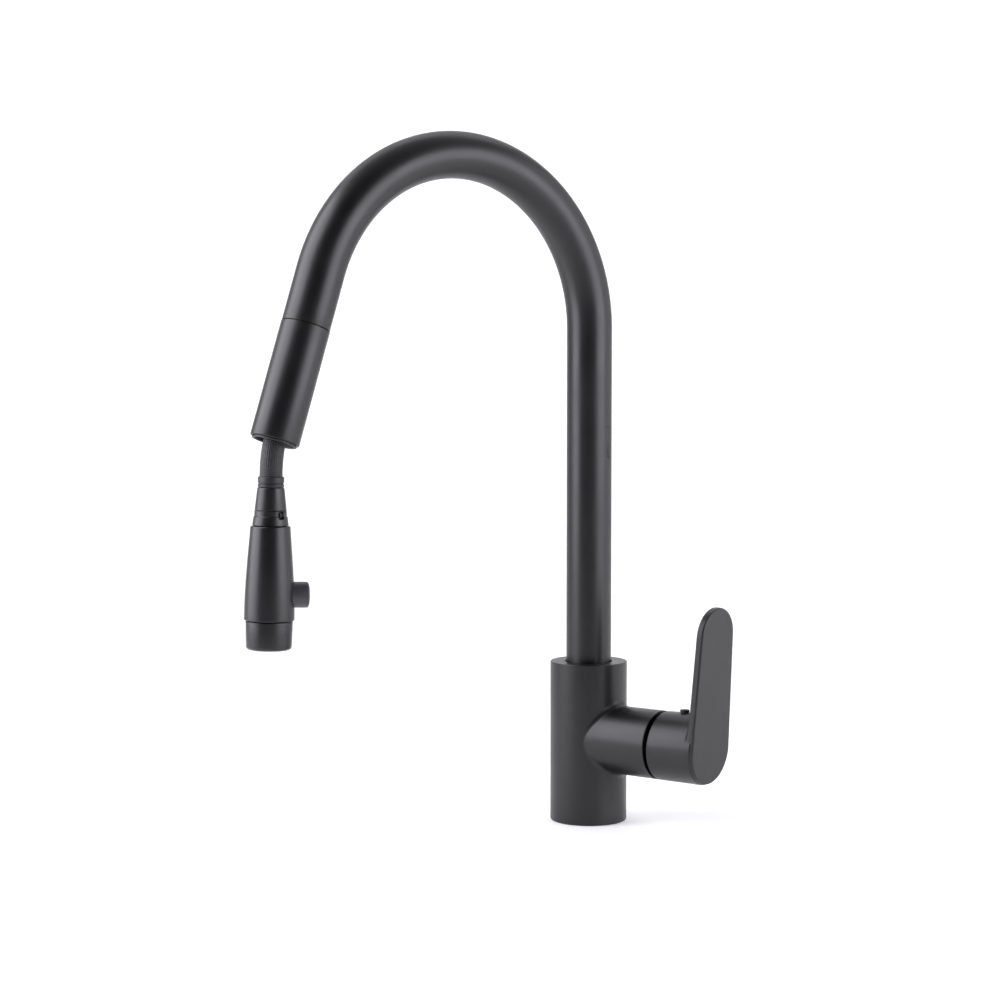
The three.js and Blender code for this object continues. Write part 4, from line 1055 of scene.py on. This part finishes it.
class FAUCET_OT_stage(FaucetStep):
    """White sweep, soft lights and the camera"""
    bl_idname = "faucet.stage"
    bl_label = "Stage"

    def execute(self, context):
        scene = context.scene
        scene.view_settings.view_transform = "Standard"
        camera = bpy.data.cameras.new("camera")
        camera.sensor_width = 36
        camera.lens = CAMERA_LENS
        holder = bpy.data.objects.new("camera", camera)
        scene.collection.objects.link(holder)
        heading = Vector(HEADING)
        look = heading * math.cos(CAMERA_PITCH) - Vector((0, 0, math.sin(CAMERA_PITCH)))
        holder.location = CAMERA_PLACE
        holder.rotation_euler = look.to_track_quat("-Z", "Y").to_euler()
        scene.camera = holder

        sweep = bmesh.new()
        run, depth, rise = 1.6, 1.4, 3.2
        verts = [sweep.verts.new((-SWEEP_WIDTH / 2, y, z)) for y, z in (
            (-5, 0), (depth, 0), *[(depth + run * math.sin(a), run * (1 - math.cos(a)))
                                   for a in [math.pi / 2 * k / 12 for k in range(1, 13)]],
            (depth + run, run + rise))]
        edges = [sweep.edges.new(pair) for pair in zip(verts, verts[1:])]
        made = bmesh.ops.extrude_edge_only(sweep, edges=edges)
        bmesh.ops.translate(sweep, vec=(SWEEP_WIDTH, 0, 0),
                            verts=[v for v in made["geom"] if isinstance(v, bmesh.types.BMVert)])
        bmesh.ops.recalc_face_normals(sweep, faces=sweep.faces)
        sweep.transform(Matrix.Rotation(math.atan2(heading.y, heading.x) - math.pi / 2, 4, "Z"))
        # the sweep's finish gives it a painted glow of its own, stronger away from the camera
        floor = link("studio_sweep", sweep, finish("floor"))
        smooth(floor)

        right = heading.cross((0, 0, 1))
        up = Vector((0, 0, 1))
        aim = Vector((0, -0.06, 0.24))

        def at(across, away, height):
            return aim + right * across + heading * away + up * height

        soft_light("left_box", at(-0.5, -0.12, 0.2), aim, 0.46, 0.75, 5.6)
        soft_light("right_box", at(1.08, -0.58, 0.22), aim, 1.0, 0.8, 12.5)
        soft_light("right_fill", at(1.16, 0.3, 0.2), aim, 1.0, 1.4, 4.5)
        soft_light("sweep_box", at(0, 1.2, 1.9), at(0, 2.6, 0.4), 3.0, 1.0, 42)
        world = bpy.data.worlds.new("studio")
        world.use_nodes = True
        background = world.node_tree.nodes["Background"]
        background.inputs["Color"].default_value = (1, 1, 1, 1)
        around = add_node(world.node_tree, "ShaderNodeTexCoord").outputs["Generated"]
        away = add_node(world.node_tree, "ShaderNodeVectorMath", {1: HEADING}, {0: around},
                        operation="DOT_PRODUCT").outputs["Value"]
        world.node_tree.links.new(spread(world.node_tree, away, 0.03, 0.4, -0.6, 0.1),
                                  background.inputs["Strength"])
        scene.world = world
        return {"FINISHED"}


# ---------------------------------------------------------------- add-on

STEPS = (FAUCET_OT_stage, FAUCET_OT_hose, FAUCET_OT_base, FAUCET_OT_lever, FAUCET_OT_spout,
         FAUCET_OT_neck, FAUCET_OT_head, FAUCET_OT_inner)


class FAUCET_PT_panel(bpy.types.Panel):
    """Lists the faucet's sizes, colours and building steps"""
    bl_idname = "FAUCET_PT_panel"
    bl_label = "Faucet"
    bl_space_type = "VIEW_3D"
    bl_region_type = "UI"
    bl_category = "Faucet"

    def draw(self, context):
        layout = self.layout
        for group in (context.scene.faucet_sizes, context.scene.faucet_colours):
            column = layout.column(align=True)
            for key in group.bl_rna.properties.keys():
                if key not in ("rna_type", "name"):
                    column.prop(group, key)
        for step in STEPS:
            layout.operator(step.bl_idname)


CLASSES = (FaucetSizes, FaucetColours, *STEPS, FAUCET_PT_panel)


def register():
    for item in CLASSES:
        bpy.utils.register_class(item)
    bpy.types.Scene.faucet_sizes = bpy.props.PointerProperty(type=FaucetSizes)
    bpy.types.Scene.faucet_colours = bpy.props.PointerProperty(type=FaucetColours)


def unregister():
    del bpy.types.Scene.faucet_colours
    del bpy.types.Scene.faucet_sizes
    for item in reversed(CLASSES):
        bpy.utils.unregister_class(item)


def main():
    register()
    for step in STEPS:
        group, name = step.bl_idname.split(".")
        getattr(getattr(bpy.ops, group), name)()


if __name__ == "__main__":
    main()
